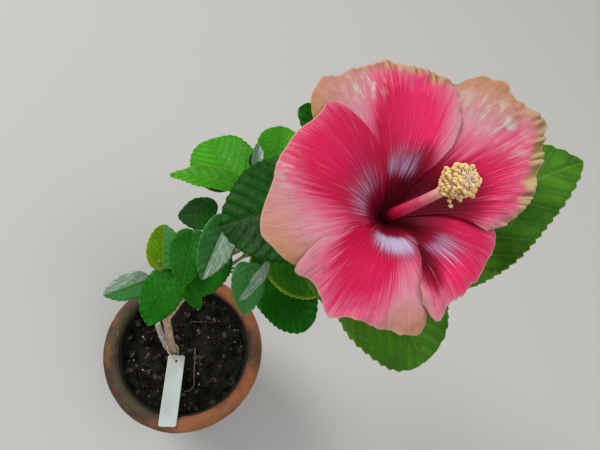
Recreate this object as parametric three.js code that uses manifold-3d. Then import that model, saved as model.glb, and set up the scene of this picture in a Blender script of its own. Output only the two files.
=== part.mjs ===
// A young hibiscus in an old clay pot, with one very large open bloom.
// Millimetres, +Z up. The origin is the centre of the pot's flat underside.
import * as THREE from 'three';
import Module from 'manifold-3d';

const wasm = await Module();
wasm.setup();

// Driving sizes

const GAP = 0.3;

// The pot's outside from foot to lip and its inside from lip to floor, as radius and height
const POT = {
  outside: [[63, 0], [66, 3], [89, 134], [99, 137], [104, 142], [105, 170], [103, 177], [97, 180]],
  lip: [[89.5, 180], [86, 176.5]],
  wallTop: [85.5, 170], floorEdge: [60, 14], segments: 40,
};
const LINER = { wall: 1.2, fit: 0.6, lip: 1.6, top: 171 };
// The soil is lumpy, but level round the trunk's foot out to the radius named calm
const SOIL = {
  top: 155, fit: 0.4, lump: 5.2, rings: 5, seed: 71, centre: [-20, 0], calm: 18, blend: 26,
};

const TRUNK = {
  path: [[-17, 0, 155], [-21, 5, 220], [-24, 12, 285]],
  footRadius: 7.4, radius: 4.9, tipRadius: 4.2, flareHeight: 16, sides: 10, steps: 12, crowding: 1.7,
};
const STUB = {
  path: [[-25, 3.2, 153], [-34, 16, 176], [-40, 28, 196]], from: 4.2, to: 3.4, sides: 8, steps: 3,
};

// Each bough: its path by start, middle and end, and its radius at both ends
const BOUGHS = {
  bough_middle: {
    path: [[-24, 12, 285], [-10, 28, 310], [6, 44, 335]], from: 3.9, to: 3.3, after: ['trunk'],
  },
  bough_left: {
    path: [[-24, 12, 285], [-28, 25, 312], [-29, 36, 335]], from: 3.2, to: 2.5,
    after: ['trunk', 'bough_middle'],
  },
  bough_flower: {
    path: [[6, 44, 335], [40, 62, 385], [84, 64, 432]], from: 3.2, to: 2.6, after: ['bough_middle'],
  },
  bough_back: {
    path: [[6, 44, 335], [9, 56, 345], [13, 68, 357]], from: 2.8, to: 2.4,
    after: ['bough_middle', 'bough_flower'],
  },
  bough_low: {
    path: [[6, 44, 335], [18, 45, 346], [30, 46, 360]], from: 2.8, to: 2.3,
    after: ['bough_middle', 'bough_flower', 'bough_back'],
  },
};
const BOUGH_SIDES = 8;
const BOUGH_STEPS = 5;

// A leaf that is placed by hand is named by where its stalk leaves the stem (at, round, lift, out)
// and by how its blade lies (turn, rise, long, wide, roll, fold, droop, swerve, heart, blunt)
const LEAF = {
  lift: 28, wide: 0.78, roll: 0, fold: 8, droop: 30, swerve: 0, heart: 0.12, blunt: 0.8, full: 0.5,
  thick: 1.3, steps: 6, stalk: 1.3, stalkTip: 0.9, stalkSides: 4, arch: 0.05, sunk: 3, sunkTip: 0.6,
  endWidth: 0.035,
};
// The room that a leaf needs: the thickness of its blade's, and the radius along its stalk's
const ROOM = { blade: 2.4, stalk: [1.8, 1.6, 1.4], from: 0.4 };
// A mass is its stem, the leaves placed by hand, and more dealt out by a spiral, of which some are pruned
const MASSES = {
  foliage_left: {
    stem: [[-29, 36, 335], [-32, 43, 358], [-33, 47, 380]], from: 2.4, to: 1.5, after: ['bough_left'],
    space: { centre: [-35, 40, 355], reach: 100 },
    leaves: [
      {
        at: 0.60, out: 6, round: 0, lift: 42, turn: 98, rise: 22, long: 48, wide: 0.76, fold: 20,
        heart: 0.15,
      },
      {
        at: 0.05, out: 16, round: 172, turn: -157, rise: -2, long: 48, wide: 0.62, roll: -30, fold: 18,
        droop: 20,
      },
      {
        at: 0.40, out: 17, round: 12, lift: 29, turn: -114, rise: -6, long: 64, wide: 0.66, fold: 10,
        droop: 40,
      },
      {
        at: 0.10, out: 25, round: -1, lift: 29, turn: -52, rise: -12, long: 35, wide: 0.55, fold: 10,
        droop: 25,
      },
    ],
    spiral: {
      count: 18, seed: 49, start: 200, out: [10, 26], long: [34, 52], rise: [-20, 12],
      prune: [0, 1, 2, 3, 5, 6, 8, 10, 11, 13, 14, 15, 16, 17],
    },
  },
  foliage_back: {
    stem: [[13, 68, 357], [27, 90, 402], [42, 112, 448]], from: 2.3, to: 1.5, after: ['bough_back'],
    space: { centre: [35, 105, 395], reach: 120 },
    leaves: [
      {
        at: 0.25, out: 18, round: -88, lift: 35, turn: -104, rise: -11, long: 54.5, wide: 0.85, roll: 10,
        heart: 0.15,
      },
      { at: 0.25, out: 26, round: -179, turn: -95, rise: 1, long: 59, wide: 0.64, droop: 25 },
      { at: 0.05, out: 39, round: 84, lift: 16, turn: -176, rise: 6, long: 41, wide: 0.98, heart: 0.2 },
      {
        at: 0.60, out: 15, round: -97, lift: 36, turn: -108, rise: -4, long: 65, wide: 0.58, roll: -20,
        fold: 14, droop: 25,
      },
      {
        at: 0.55, out: 32.6, round: 77.7, lift: 24.4, turn: 123, rise: 6, long: 66, wide: 1.02, roll: -8,
        fold: 6, heart: 0.2, blunt: 0.6,
      },
      {
        at: 0.75, out: 14.2, round: 60, lift: 40, turn: 170, rise: 6, long: 75, wide: 0.38, roll: 6,
        fold: 14, droop: 36, heart: 0.05,
      },
      {
        at: 0.90, out: 42, round: 39, lift: 19, turn: 83, rise: 19, long: 42, wide: 1.12, fold: 10,
        heart: 0.2,
      },
      {
        at: 1.00, out: 19, round: -54, lift: 74, turn: 84, rise: 10, long: 34, wide: 0.5, roll: 35,
        fold: 30, droop: 20, heart: 0,
      },
    ],
    spiral: {
      count: 24, seed: 5, start: 60, out: [12, 30], long: [38, 66], rise: [-20, 12],
      prune: [3, 4, 6, 8, 9, 11, 12, 14, 17, 19, 22],
    },
  },
  foliage_low: {
    stem: [[30, 46, 360], [44, 52, 388], [60, 54, 420]], from: 2.2, to: 1.4, after: ['bough_low'],
    space: { centre: [62, 42, 385], reach: 100 },
    leaves: [
      {
        at: 0.85, out: 18, round: -100, lift: 27, turn: -91, rise: -2, long: 49, wide: 0.66, fold: 6,
        heart: 0.2,
      },
      {
        at: 1.00, out: 29, round: -74, lift: 44, turn: -122, rise: -9, long: 45, wide: 0.42, roll: -60,
        fold: 20, droop: 20, heart: 0,
      },
      { at: 0.05, out: 44.4, round: -10, lift: 30, turn: -42, rise: 5, long: 74, wide: 0.84, blunt: 0.55 },
      { at: 0.65, out: 30, round: -5, lift: 30, turn: -36, rise: 2, long: 62, wide: 0.80 },
    ],
    spiral: {
      count: 20, seed: 41, start: 90, out: [12, 28], long: [36, 60], rise: [-20, 8],
      prune: [1, 4, 6, 9, 12, 14, 19],
    },
  },
  foliage_top: {
    stem: [[84, 64, 432], [116, 60, 470], [140, 50, 508]], from: 2.5, to: 1.9, after: ['bough_flower'],
    space: { centre: [140, 45, 520], reach: 160 },
    leaves: [
      {
        at: 0.50, out: 21, round: 113, lift: 34, turn: -167, rise: 1, long: 97, wide: 1.02, roll: -4,
        fold: 6, droop: 35, heart: 0.15, blunt: 0.72,
      },
      {
        at: 0.90, out: 58.9, round: -47, lift: 20.5, turn: 31.6, rise: 47.8, long: 136.7, wide: 0.7,
        roll: 8, fold: 6, droop: 25, swerve: -34, heart: 0.2, blunt: 0.82,
      },
      {
        at: 0.75, out: 45, round: -91, lift: 27, turn: -61, rise: 15, long: 90, wide: 1.22, roll: -14,
        fold: 6, blunt: 0.56,
      },
      {
        at: 0.84, out: 52, round: 139.4, lift: 51, turn: 151.7, rise: 46.3, long: 63.7, wide: 0.62,
        fold: 10, droop: 20, blunt: 0.55,
      },
    ],
    spiral: {
      count: 14, seed: 7, start: 20, out: [20, 40], long: [60, 92], rise: [-6, 20], prune: [4, 7],
    },
  },
};
const TURN_STEP = 137.5;
// How far the spiral's leaves differ: from and to for each, and the share of the length at foot and tip
const SPREAD = {
  round: [-14, 14], lift: [10, 40], turn: [-28, 28], share: [1.05, 0.8], wide: [0.7, 0.95],
  roll: [-16, 16], droop: [22, 44],
};

// The bloom: its own frame has the throat at the origin and the axis up
const BLOOM = { throat: [122, 22, 566], axis: [-0.05, -0.2, 0.975], depth: 44, spread: 26, power: 1.35 };
const PETAL = {
  start: 5.6, thick: 1.2, claw: 0.66, opensBy: 0.45, tilt: 1.4, tiltGain: 1.8, ruffle: 2.2, ruffles: 9,
  curl: 4, curlPower: 8, along: 8, across: 13, size: 95,
};
// The rim's lift by direction: two petals stand up, one bends down
const LIFTS = [{ at: 34, by: 13, power: 3 }, { at: -50, by: -7, power: 3 }, { at: 150, by: 3, power: 2 }];
// Each petal runs clockwise from its hidden edge to its open edge, with its rim's radius on the way
const PETALS = {
  petal_top: {
    from: 148, to: 64, rim: [62, 74, 86.5, 89.5, 89.5, 90.5, 91, 92, 87, 87.5, 87, 85.5, 80],
  },
  petal_right: {
    from: 74, to: -17, rim: [80, 88, 100, 100.5, 98.5, 102, 105.5, 94.5, 87.5, 80, 76, 68.5, 62.5, 59],
  },
  petal_low_right: {
    from: -6, to: -88, rim: [58, 61, 62, 61.5, 61.2, 61.6, 62.5, 63.5, 64, 64, 66, 69, 62, 54],
  },
  petal_low_left: {
    from: -76, to: -152, rim: [67, 75.5, 76.5, 76, 75, 75, 75, 76, 82, 78, 75, 77, 80.5, 71],
  },
  petal_left: {
    from: 220, to: 128, rim: [72, 77, 82, 87.5, 87, 82, 79.8, 78.5, 77.6, 77, 75, 72.5, 73.5, 79],
  },
};
// The calyx as heights below the throat and its radius at each
const CALYX = {
  heights: [-32, -24, -9.6, -1, 3.4], radii: [3.2, 6, 8.6, 9.2, 5], sides: 10,
  sepals: 5, first: 20, inner: 7.2, outer: 25.7, low: -6, high: 2.5, wide: 13, thick: 1,
  rows: [0, 0.35, 0.7, 1], taper: 1.5, endWidth: 0.08,
};
const STALK = { path: [[140, 50, 508], [134, 40, 522]], from: 1.9, to: 2.5, sides: 8, steps: 5 };
const COLUMN = { foot: 3.9, tip: [134, 10, 638], from: 3.3, to: 2.5, bow: 3, sides: 10, steps: 6 };
// The anthers stand on a spindle, whose half length counts as one
const ANTHERS = {
  length: 21, radius: 7.4, core: 0.9, coreLeast: 2.6, rings: [-1, -0.7, -0.2, 0.4, 0.85], sides: 8,
  knobs: 30, knobRadius: 2.2, knobsOut: 1.12, knobsFrom: -0.85, knobsTo: 0.95,
};

const LABEL = {
  wide: 22, thick: 1, top: [-11, -8.5, 166], bend: [-12.4, -87, 180.9], end: [-12.6, -98, 180.9],
  sag: 2.4, rows: [0, 0.25, 0.5, 0.75, 1], hole: 1.8, holeBack: 8, holeSides: 10,
};
const TIE = {
  radius: 0.45, sides: 6, steps: 30,
  path: [
    [-12.5, -15.6, 164], [-12.2, -16.4, 168], [-14, -13, 171.6], [-23, -6, 171], [-25, 1.5, 170],
    [-18, 8, 169.5], [-10.6, 2, 168.5], [-9.4, -5, 164], [-11, -11, 161.8],
  ],
};

// Shared helpers

const rad = (degrees) => degrees * Math.PI / 180;
const vec = (point) => new THREE.Vector3(...point);
const mix = (a, b, t) => a + (b - a) * t;

// Numbers between 0 and 1 that are the same in every run
function seeded(seed) {
  let state = seed;
  return () => {
    state = state * 16807 % 2147483647;
    return state / 2147483647;
  };
}

// The point at t on the curve through start, middle and end
function alongPath(path, t) {
  const [start, middle, end] = path.map(vec);
  const pull = middle.multiplyScalar(2).addScaledVector(start, -0.5).addScaledVector(end, -0.5);
  return new THREE.QuadraticBezierCurve3(start, pull, end).getPoint(t);
}

function samplePath(path, steps) {
  return Array.from({ length: steps + 1 }, (_, i) => alongPath(path, i / steps));
}

// The value at t in a list that is evenly spaced from 0 to 1
function fromList(list, t) {
  const place = Math.min(Math.max(t, 0), 1) * (list.length - 1);
  const index = Math.min(Math.floor(place), list.length - 2);
  return mix(list[index], list[index + 1], place - index);
}

function meshData(points, faces) {
  const geometry = new THREE.BufferGeometry();
  const places = points.flatMap((p) => p.toArray());
  geometry.setAttribute('position', new THREE.Float32BufferAttribute(places, 3));
  geometry.setIndex(faces.flat());
  return geometry;
}

// Solids, joining and cutting

function solidOf(geometry) {
  const vertProperties = new Float32Array(geometry.getAttribute('position').array);
  const triVerts = new Uint32Array(geometry.getIndex().array);
  return new wasm.Manifold(new wasm.Mesh({ numProp: 3, vertProperties, triVerts }));
}

function geometryOf(solid) {
  const mesh = solid.getMesh();
  const geometry = new THREE.BufferGeometry();
  geometry.setAttribute('position', new THREE.Float32BufferAttribute(mesh.vertProperties, 3));
  geometry.setIndex(Array.from(mesh.triVerts));
  return geometry;
}

// Keeps the largest body, so that no loose scrap or sealed hollow stays
function oneBody(solid) {
  return solid.decompose().reduce((best, piece) => (piece.volume() > best.volume() ? piece : best));
}

function fuse(solids) {
  return oneBody(solids.reduce((whole, solid) => whole.add(solid)));
}

const meets = (a, b) => a.intersect(b).volume() > 0;

// A closed tube with its own radius at each point
function tube(points, radii, sides, grow = 0) {
  const curve = new THREE.CatmullRomCurve3(points);
  const count = points.length - 1;
  const frames = curve.computeFrenetFrames(count, false);
  const rings = [];
  points.forEach((centre, i) => {
    for (let k = 0; k < sides; k += 1) {
      const angle = 2 * Math.PI * k / sides;
      const reach = radii[i] + grow;
      rings.push(centre.clone()
        .addScaledVector(frames.normals[i], reach * Math.cos(angle))
        .addScaledVector(frames.binormals[i], reach * Math.sin(angle)));
    }
  });
  const faces = [];
  for (let i = 0; i < count; i += 1) {
    for (let k = 0; k < sides; k += 1) {
      const a = i * sides + k;
      const b = i * sides + (k + 1) % sides;
      faces.push([a, b, b + sides], [a, b + sides, a + sides]);
    }
  }
  const foot = rings.push(points[0].clone().addScaledVector(frames.tangents[0], -grow)) - 1;
  const head = rings.push(points[count].clone().addScaledVector(frames.tangents[count], grow)) - 1;
  for (let k = 0; k < sides; k += 1) {
    const next = (k + 1) % sides;
    faces.push([foot, next, k], [head, count * sides + k, count * sides + next]);
  }
  return meshData(rings, faces);
}

// A sheet of the given thickness on a grid of points, closed round its edge
function sheet(grid, thick) {
  const rows = grid.length;
  const columns = grid[0].length;
  const at = (i, j) => grid[Math.min(Math.max(i, 0), rows - 1)][Math.min(Math.max(j, 0), columns - 1)];
  const top = [];
  const bottom = [];
  for (let i = 0; i < rows; i += 1) {
    for (let j = 0; j < columns; j += 1) {
      const along = at(i + 1, j).clone().sub(at(i - 1, j));
      const across = at(i, j + 1).clone().sub(at(i, j - 1));
      const out = across.cross(along).normalize();
      top.push(at(i, j).clone().addScaledVector(out, thick / 2));
      bottom.push(at(i, j).clone().addScaledVector(out, -thick / 2));
    }
  }
  const points = [...top, ...bottom];
  const under = rows * columns;
  const faces = [];
  for (let i = 0; i < rows - 1; i += 1) {
    for (let j = 0; j < columns - 1; j += 1) {
      const a = i * columns + j;
      const c = a + columns;
      faces.push([a, a + 1, c + 1], [a, c + 1, c]);
      faces.push([under + a, under + c + 1, under + a + 1], [under + a, under + c, under + c + 1]);
    }
  }
  const edge = [];
  for (let j = 0; j < columns - 1; j += 1) edge.push(j);
  for (let i = 0; i < rows - 1; i += 1) edge.push(i * columns + columns - 1);
  for (let j = columns - 1; j > 0; j -= 1) edge.push((rows - 1) * columns + j);
  for (let i = rows - 1; i > 0; i -= 1) edge.push(i * columns);
  edge.forEach((a, k) => {
    const b = edge[(k + 1) % edge.length];
    faces.push([a, under + b, b], [a, under + a, under + b]);
  });
  return meshData(points, faces);
}

// The pot, its liner and the soil

const [floorRadius, floor] = POT.floorEdge;
const wallRadius = (z) => mix(floorRadius, POT.wallTop[0], (z - floor) / (POT.wallTop[1] - floor));

function lathe(profile) {
  const points = profile.map(([radius, height]) => new THREE.Vector2(radius, height));
  const turned = new THREE.LatheGeometry(points, POT.segments);
  turned.rotateX(Math.PI / 2);
  return welded(turned);
}

// Joins points that lie together and drops the faces that this leaves with no width
function welded(geometry) {
  const place = geometry.getAttribute('position');
  const source = geometry.getIndex();
  const count = source ? source.count : place.count;
  const known = new Map();
  const points = [];
  const name = (i) => {
    const p = new THREE.Vector3().fromBufferAttribute(place, i);
    const key = p.toArray().map((v) => Math.round(v * 1e4)).join();
    if (!known.has(key)) known.set(key, points.push(p) - 1);
    return known.get(key);
  };
  const faces = [];
  for (let i = 0; i < count; i += 3) {
    const [a, b, c] = [0, 1, 2].map((k) => name(source ? source.getX(i + k) : i + k));
    if (a !== b && b !== c && c !== a) faces.push([a, b, c]);
  }
  return meshData(points, faces);
}

function potSolid() {
  return lathe([[0, 0], ...POT.outside, ...POT.lip, POT.wallTop, POT.floorEdge, [0, floor]]);
}

function linerSolid() {
  const foot = floor + GAP;
  const outer = (z) => wallRadius(z) - LINER.fit;
  return lathe([
    [0, foot], [outer(foot), foot], [outer(LINER.top), LINER.top],
    [outer(LINER.top) - LINER.lip, LINER.top],
    [outer(LINER.top - LINER.lip) - LINER.wall, LINER.top - LINER.lip],
    [outer(foot) - LINER.wall, foot + LINER.wall], [0, foot + LINER.wall],
  ]);
}

function soilSolid() {
  const inset = LINER.fit + LINER.wall + SOIL.fit;
  const foot = floor + GAP + LINER.wall + GAP;
  const random = seeded(SOIL.seed);
  const points = [new THREE.Vector3(0, 0, SOIL.top), new THREE.Vector3(0, 0, foot)];
  const ringStart = [];
  const ring = (radius, height) => {
    ringStart.push(points.length);
    for (let k = 0; k < POT.segments; k += 1) {
      const angle = 2 * Math.PI * k / POT.segments;
      const x = radius * Math.sin(angle);
      const y = -radius * Math.cos(angle);
      points.push(new THREE.Vector3(x, y, height(x, y)));
    }
  };
  const lumpy = (x, y) => {
    const away = Math.hypot(x - SOIL.centre[0], y - SOIL.centre[1]);
    const share = Math.min(Math.max((away - SOIL.calm) / SOIL.blend, 0), 1);
    return SOIL.top - SOIL.lump * random() * share;
  };
  for (let i = 1; i <= SOIL.rings; i += 1) {
    ring((wallRadius(SOIL.top - SOIL.lump) - inset) * i / SOIL.rings, lumpy);
  }
  ring(wallRadius(foot) - inset, () => foot);
  const faces = [];
  for (let k = 0; k < POT.segments; k += 1) {
    const next = (k + 1) % POT.segments;
    faces.push([0, ringStart[0] + k, ringStart[0] + next]);
    for (let i = 0; i < SOIL.rings; i += 1) {
      const [inner, outer] = [ringStart[i], ringStart[i + 1]];
      faces.push([inner + k, outer + k, outer + next], [inner + k, outer + next, inner + next]);
    }
    faces.push([1, ringStart[SOIL.rings] + next, ringStart[SOIL.rings] + k]);
  }
  return meshData(points, faces);
}

// Limbs

function trunkRadius(z) {
  const foot = TRUNK.path[0][2];
  const flare = Math.max(0, 1 - (z - foot) / TRUNK.flareHeight);
  const taper = mix(TRUNK.radius, TRUNK.tipRadius, (z - foot) / (TRUNK.path[2][2] - foot));
  return taper + (TRUNK.footRadius - TRUNK.radius) * flare * flare;
}

// Cuts a limb flat just above the soil
const cutAtSoil = (solid) => solid.trimByPlane([0, 0, 1], SOIL.top + GAP);

// The trunk's rings lie closer together at its flared foot
function trunkSolid(grow = 0) {
  const shares = Array.from({ length: TRUNK.steps + 1 }, (_, i) => (i / TRUNK.steps) ** TRUNK.crowding);
  const points = shares.map((share) => alongPath(TRUNK.path, share));
  return cutAtSoil(solidOf(tube(points, points.map((p) => trunkRadius(p.z)), TRUNK.sides, grow)));
}

function limbSolid({ path, from, to, sides = BOUGH_SIDES, steps = BOUGH_STEPS }, grow = 0) {
  const points = samplePath(path, steps);
  const radii = points.map((_, i) => mix(from, to, i / steps));
  return solidOf(tube(points, radii, sides, grow));
}

const stemSolid = ({ stem, from, to }, grow = 0) => limbSolid({ path: stem, from, to }, grow);

// Leaves

// Half the blade's width at s along it, for a greatest half width of 1
function bladeShape(s, leaf) {
  const [a, b] = [leaf.full, leaf.blunt];
  const most = (a / (a + b)) ** a * (b / (a + b)) ** b;
  return Math.max(s ** a * (1 - s) ** b / most, LEAF.endWidth);
}

const level = new THREE.Vector3(0, 0, 1);

// The blade's points: rows from its base to its tip, each from one edge by the midrib to the other
function bladeGrid(base, leaf) {
  const step = leaf.long / LEAF.steps;
  const place = base.clone();
  const ahead = (s) => {
    const heading = rad(leaf.turn + leaf.swerve * (s - 0.5));
    return new THREE.Vector3(Math.cos(heading), Math.sin(heading), 0);
  };
  const direction = (s) => {
    const pitch = rad(leaf.rise - leaf.droop * s);
    return ahead(s).multiplyScalar(Math.cos(pitch)).addScaledVector(level, Math.sin(pitch));
  };
  const grid = [];
  for (let i = 0; i <= LEAF.steps; i += 1) {
    const s = i / LEAF.steps;
    const along = direction(s);
    const side = level.clone().cross(ahead(s)).applyAxisAngle(along, rad(leaf.roll));
    const up = along.clone().cross(side);
    const half = 0.5 * leaf.wide * leaf.long * bladeShape(s, leaf);
    grid.push([-1, 0, 1].map((j) => place.clone()
      .addScaledVector(side, half * j * Math.cos(rad(leaf.fold)))
      .addScaledVector(up, half * Math.abs(j) * Math.sin(rad(leaf.fold)))
      .addScaledVector(along, -leaf.heart * 2 * half * Math.abs(j) * (1 - s) ** 2)));
    place.addScaledVector(direction(s + 0.5 / LEAF.steps), step);
  }
  return grid;
}

// A leaf with its stalk, and the same with room round it for the test that it touches nothing
function leafSolids(stem, given) {
  const leaf = { ...LEAF, ...given };
  const root = alongPath(stem, leaf.at);
  const [round, lift] = [rad(leaf.round), rad(leaf.lift)];
  const flat = new THREE.Vector3(Math.cos(round), Math.sin(round), 0);
  const way = flat.multiplyScalar(Math.cos(lift)).addScaledVector(level, Math.sin(lift));
  const base = root.clone().addScaledVector(way, leaf.out);
  const grid = bladeGrid(base, leaf);
  const into = grid[1][1].clone().sub(base).setLength(LEAF.sunk);
  const bend = root.clone().addScaledVector(way, leaf.out * 0.5).addScaledVector(level, leaf.out * leaf.arch);
  const points = [root, bend, base, base.clone().add(into)];
  const radii = [LEAF.stalk, mix(LEAF.stalk, LEAF.stalkTip, 0.5), LEAF.stalkTip, LEAF.sunkTip];
  const roomStart = root.clone().addScaledVector(way, leaf.out * ROOM.from);
  return {
    grid,
    blade: solidOf(sheet(grid, LEAF.thick)),
    stalk: solidOf(tube(points, radii, LEAF.stalkSides)),
    room: solidOf(sheet(grid, ROOM.blade)),
    stalkRoom: solidOf(tube([roomStart, bend, base], ROOM.stalk, LEAF.stalkSides)),
  };
}

// Leaves dealt round the stem by a fixed turn, each a little off by the seed
function spiralLeaves({ count, seed, start, out, long, rise, prune }) {
  const random = seeded(seed);
  const between = ([from, to]) => mix(from, to, random());
  const dealt = Array.from({ length: count }, (_, k) => {
    const round = start + TURN_STEP * k + between(SPREAD.round);
    return {
      at: (k + 0.5) / count,
      round,
      out: between(out),
      lift: between(SPREAD.lift),
      turn: round + between(SPREAD.turn),
      rise: between(rise),
      long: between(long) * mix(...SPREAD.share, k / count),
      wide: between(SPREAD.wide),
      roll: between(SPREAD.roll),
      droop: between(SPREAD.droop),
    };
  });
  return dealt.filter((_, k) => !prune.includes(k));
}

// The bloom

const axis = vec(BLOOM.axis).normalize();
const east = new THREE.Vector3(1, 0, 0).addScaledVector(axis, -axis.x).normalize();
const north = axis.clone().cross(east);
const bloomPoint = (radius, angle, height) => vec(BLOOM.throat)
  .addScaledVector(east, radius * Math.cos(angle))
  .addScaledVector(north, radius * Math.sin(angle))
  .addScaledVector(axis, height);

// How high the petals stand at a distance from the axis, in a direction
function petalHeight(radius, angle) {
  const funnel = BLOOM.depth * (1 - Math.exp(-((radius / BLOOM.spread) ** BLOOM.power)));
  const share = radius / PETAL.size;
  const bump = ({ at, by, power }) => by * Math.max(0, Math.cos(angle - rad(at))) ** power;
  const lift = LIFTS.reduce((sum, each) => sum + bump(each), 0);
  const wave = PETAL.ruffle * Math.sin(PETAL.ruffles * angle) * share ** 3;
  return funnel + lift * share * share + wave;
}

function petalSolid({ from, to, rim }) {
  const middle = (from + to) / 2;
  const grid = [];
  for (let i = 0; i <= PETAL.along; i += 1) {
    const u = i / PETAL.along;
    const open = mix(PETAL.claw, 1, Math.min(1, u / PETAL.opensBy));
    const row = [];
    for (let j = 0; j <= PETAL.across; j += 1) {
      const v = mix(-1, 1, j / PETAL.across);
      const angle = rad(middle + v * open * (to - from) / 2);
      const radius = mix(PETAL.start, fromList(rim, (v + 1) / 2), u);
      const tilt = (PETAL.tilt + PETAL.tiltGain * u) * v;
      const curl = PETAL.curl * u ** PETAL.curlPower;
      row.push(bloomPoint(radius, angle, petalHeight(radius, angle) + tilt - curl));
    }
    grid.push(row);
  }
  return sheet(grid, PETAL.thick);
}

function sepalSolid(angle) {
  const grid = CALYX.rows.map((u) => {
    const radius = mix(CALYX.inner, CALYX.outer, u);
    const height = mix(CALYX.low, CALYX.high, u);
    const half = CALYX.wide / 2 * Math.max(1 - u ** CALYX.taper, CALYX.endWidth);
    const across = [-half, 0, half];
    return across.map((x) => bloomPoint(Math.hypot(radius, x), angle + Math.atan2(x, radius), height));
  });
  return solidOf(sheet(grid, CALYX.thick));
}

function cupSolid(grow = 0) {
  const points = CALYX.heights.map((height) => bloomPoint(0, 0, height));
  return solidOf(tube(points, CALYX.radii, CALYX.sides, grow));
}

function calyxSolid() {
  const step = 360 / CALYX.sepals;
  const sepals = Array.from({ length: CALYX.sepals }, (_, k) => sepalSolid(rad(CALYX.first + k * step)));
  return fuse([cupSolid(), ...sepals]);
}

// The bloom's stalk runs from the stem that bears it into the calyx, cut clear of both
function stalkSolid() {
  const end = bloomPoint(0, 0, CALYX.heights[0]);
  const stalk = limbSolid({ ...STALK, path: [...STALK.path, end.toArray()] });
  return oneBody(stalk.subtract(cupSolid(GAP)).subtract(stemSolid(MASSES.foliage_top, GAP)));
}

const columnFoot = bloomPoint(0, 0, COLUMN.foot);

function columnSolid() {
  const tip = vec(COLUMN.tip);
  const way = tip.clone().sub(columnFoot);
  const bow = way.clone().cross(level).normalize().multiplyScalar(COLUMN.bow);
  const middle = columnFoot.clone().addScaledVector(way, 0.5).add(bow);
  const shaft = limbSolid({ ...COLUMN, path: [columnFoot.toArray(), middle.toArray(), tip.toArray()] });
  return fuse([shaft, ...antherSolids(tip, way.normalize())]);
}

// A spindle of pollen knobs round the column's end, dealt by the golden turn
function antherSolids(tip, way) {
  const side = way.clone().cross(level).normalize();
  const up = side.clone().cross(way);
  const place = (radius, angle, t) => tip.clone()
    .addScaledVector(side, radius * Math.cos(angle))
    .addScaledVector(up, radius * Math.sin(angle))
    .addScaledVector(way, t * ANTHERS.length / 2);
  const reach = (t) => ANTHERS.radius * Math.sqrt(1.03 - t * t);
  const radii = ANTHERS.rings.map((t) => Math.max(reach(t) * ANTHERS.core, ANTHERS.coreLeast));
  const core = solidOf(tube(ANTHERS.rings.map((t) => place(0, 0, t)), radii, ANTHERS.sides));
  const knobs = Array.from({ length: ANTHERS.knobs }, (_, k) => {
    const t = mix(ANTHERS.knobsFrom, ANTHERS.knobsTo, (k + 0.5) / ANTHERS.knobs);
    return knobSolid(place(ANTHERS.knobsOut * reach(t), rad(TURN_STEP * k), t));
  });
  return [core, ...knobs];
}

function knobSolid(centre) {
  const ball = new THREE.OctahedronGeometry(ANTHERS.knobRadius, 0);
  ball.translate(centre.x, centre.y, centre.z);
  return solidOf(welded(ball));
}

// The label and its tie

function labelSolid() {
  const [top, bend, end] = [LABEL.top, LABEL.bend, LABEL.end].map(vec);
  const side = end.clone().sub(top).cross(level).setLength(LABEL.wide / 2);
  const rows = LABEL.rows.map((t) => {
    const p = top.clone().lerp(bend, t);
    return p.addScaledVector(level, -LABEL.sag * Math.sin(Math.PI * t));
  });
  const grid = [...rows, end].map((p) => [p.clone().add(side), p.clone().sub(side)]);
  const spot = bend.clone().sub(top).setLength(LABEL.holeBack).add(top);
  const drill = new THREE.CylinderGeometry(LABEL.hole, LABEL.hole, 12 * LABEL.thick, LABEL.holeSides);
  drill.rotateX(Math.PI / 2);
  drill.translate(spot.x, spot.y, spot.z);
  return solidOf(sheet(grid, LABEL.thick)).subtract(solidOf(welded(drill)));
}

// A closed ring of string along a closed curve
function tieSolid() {
  const curve = new THREE.CatmullRomCurve3(TIE.path.map(vec), true);
  const frames = curve.computeFrenetFrames(TIE.steps, true);
  const points = [];
  const faces = [];
  for (let i = 0; i < TIE.steps; i += 1) {
    const centre = curve.getPointAt(i / TIE.steps);
    for (let k = 0; k < TIE.sides; k += 1) {
      const angle = 2 * Math.PI * k / TIE.sides;
      points.push(centre.clone()
        .addScaledVector(frames.normals[i], TIE.radius * Math.cos(angle))
        .addScaledVector(frames.binormals[i], TIE.radius * Math.sin(angle)));
      const [a, b] = [i * TIE.sides + k, i * TIE.sides + (k + 1) % TIE.sides];
      const ahead = ((i + 1) % TIE.steps) * TIE.sides;
      const [c, d] = [ahead + k, ahead + (k + 1) % TIE.sides];
      faces.push([a, b, d], [a, d, c]);
    }
  }
  return solidOf(meshData(points, faces));
}

// Building the plant

const finish = {
  clay: { color: 0xa85f38, roughness: 0.85 },
  plastic: { color: 0x14171a, roughness: 0.5 },
  soil: { color: 0x4a4640, roughness: 1 },
  bark: { color: 0x9a8468, roughness: 0.9 },
  stub: { color: 0xa8a08e, roughness: 0.9 },
  green: { color: 0x3c8a26, roughness: 0.45 },
  petal: { color: 0xd82a5a, roughness: 0.5 },
  column: { color: 0xe8688c, roughness: 0.5 },
  label: { color: 0xeef0ee, roughness: 0.4 },
  string: { color: 0xc8b060, roughness: 0.9 },
};

const group = new THREE.Group();
const standing = {};
const roomy = {};
const growing = {};

function place(name, solid, look, room = solid) {
  const material = new THREE.MeshStandardMaterial({ ...finish[look], metalness: 0 });
  const mesh = new THREE.Mesh(geometryOf(solid), material);
  mesh.name = name;
  group.add(mesh);
  standing[name] = solid;
  roomy[name] = room;
}

function growLimb(name, limb) {
  const cut = limb.after.reduce((solid, other) => solid.subtract(roomy[other]), limbSolid(limb));
  place(name, oneBody(cut), 'bark', limbSolid(limb, GAP));
}

const inSpace = ({ centre, reach }, point) => point.distanceTo(vec(centre)) <= reach;

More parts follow.
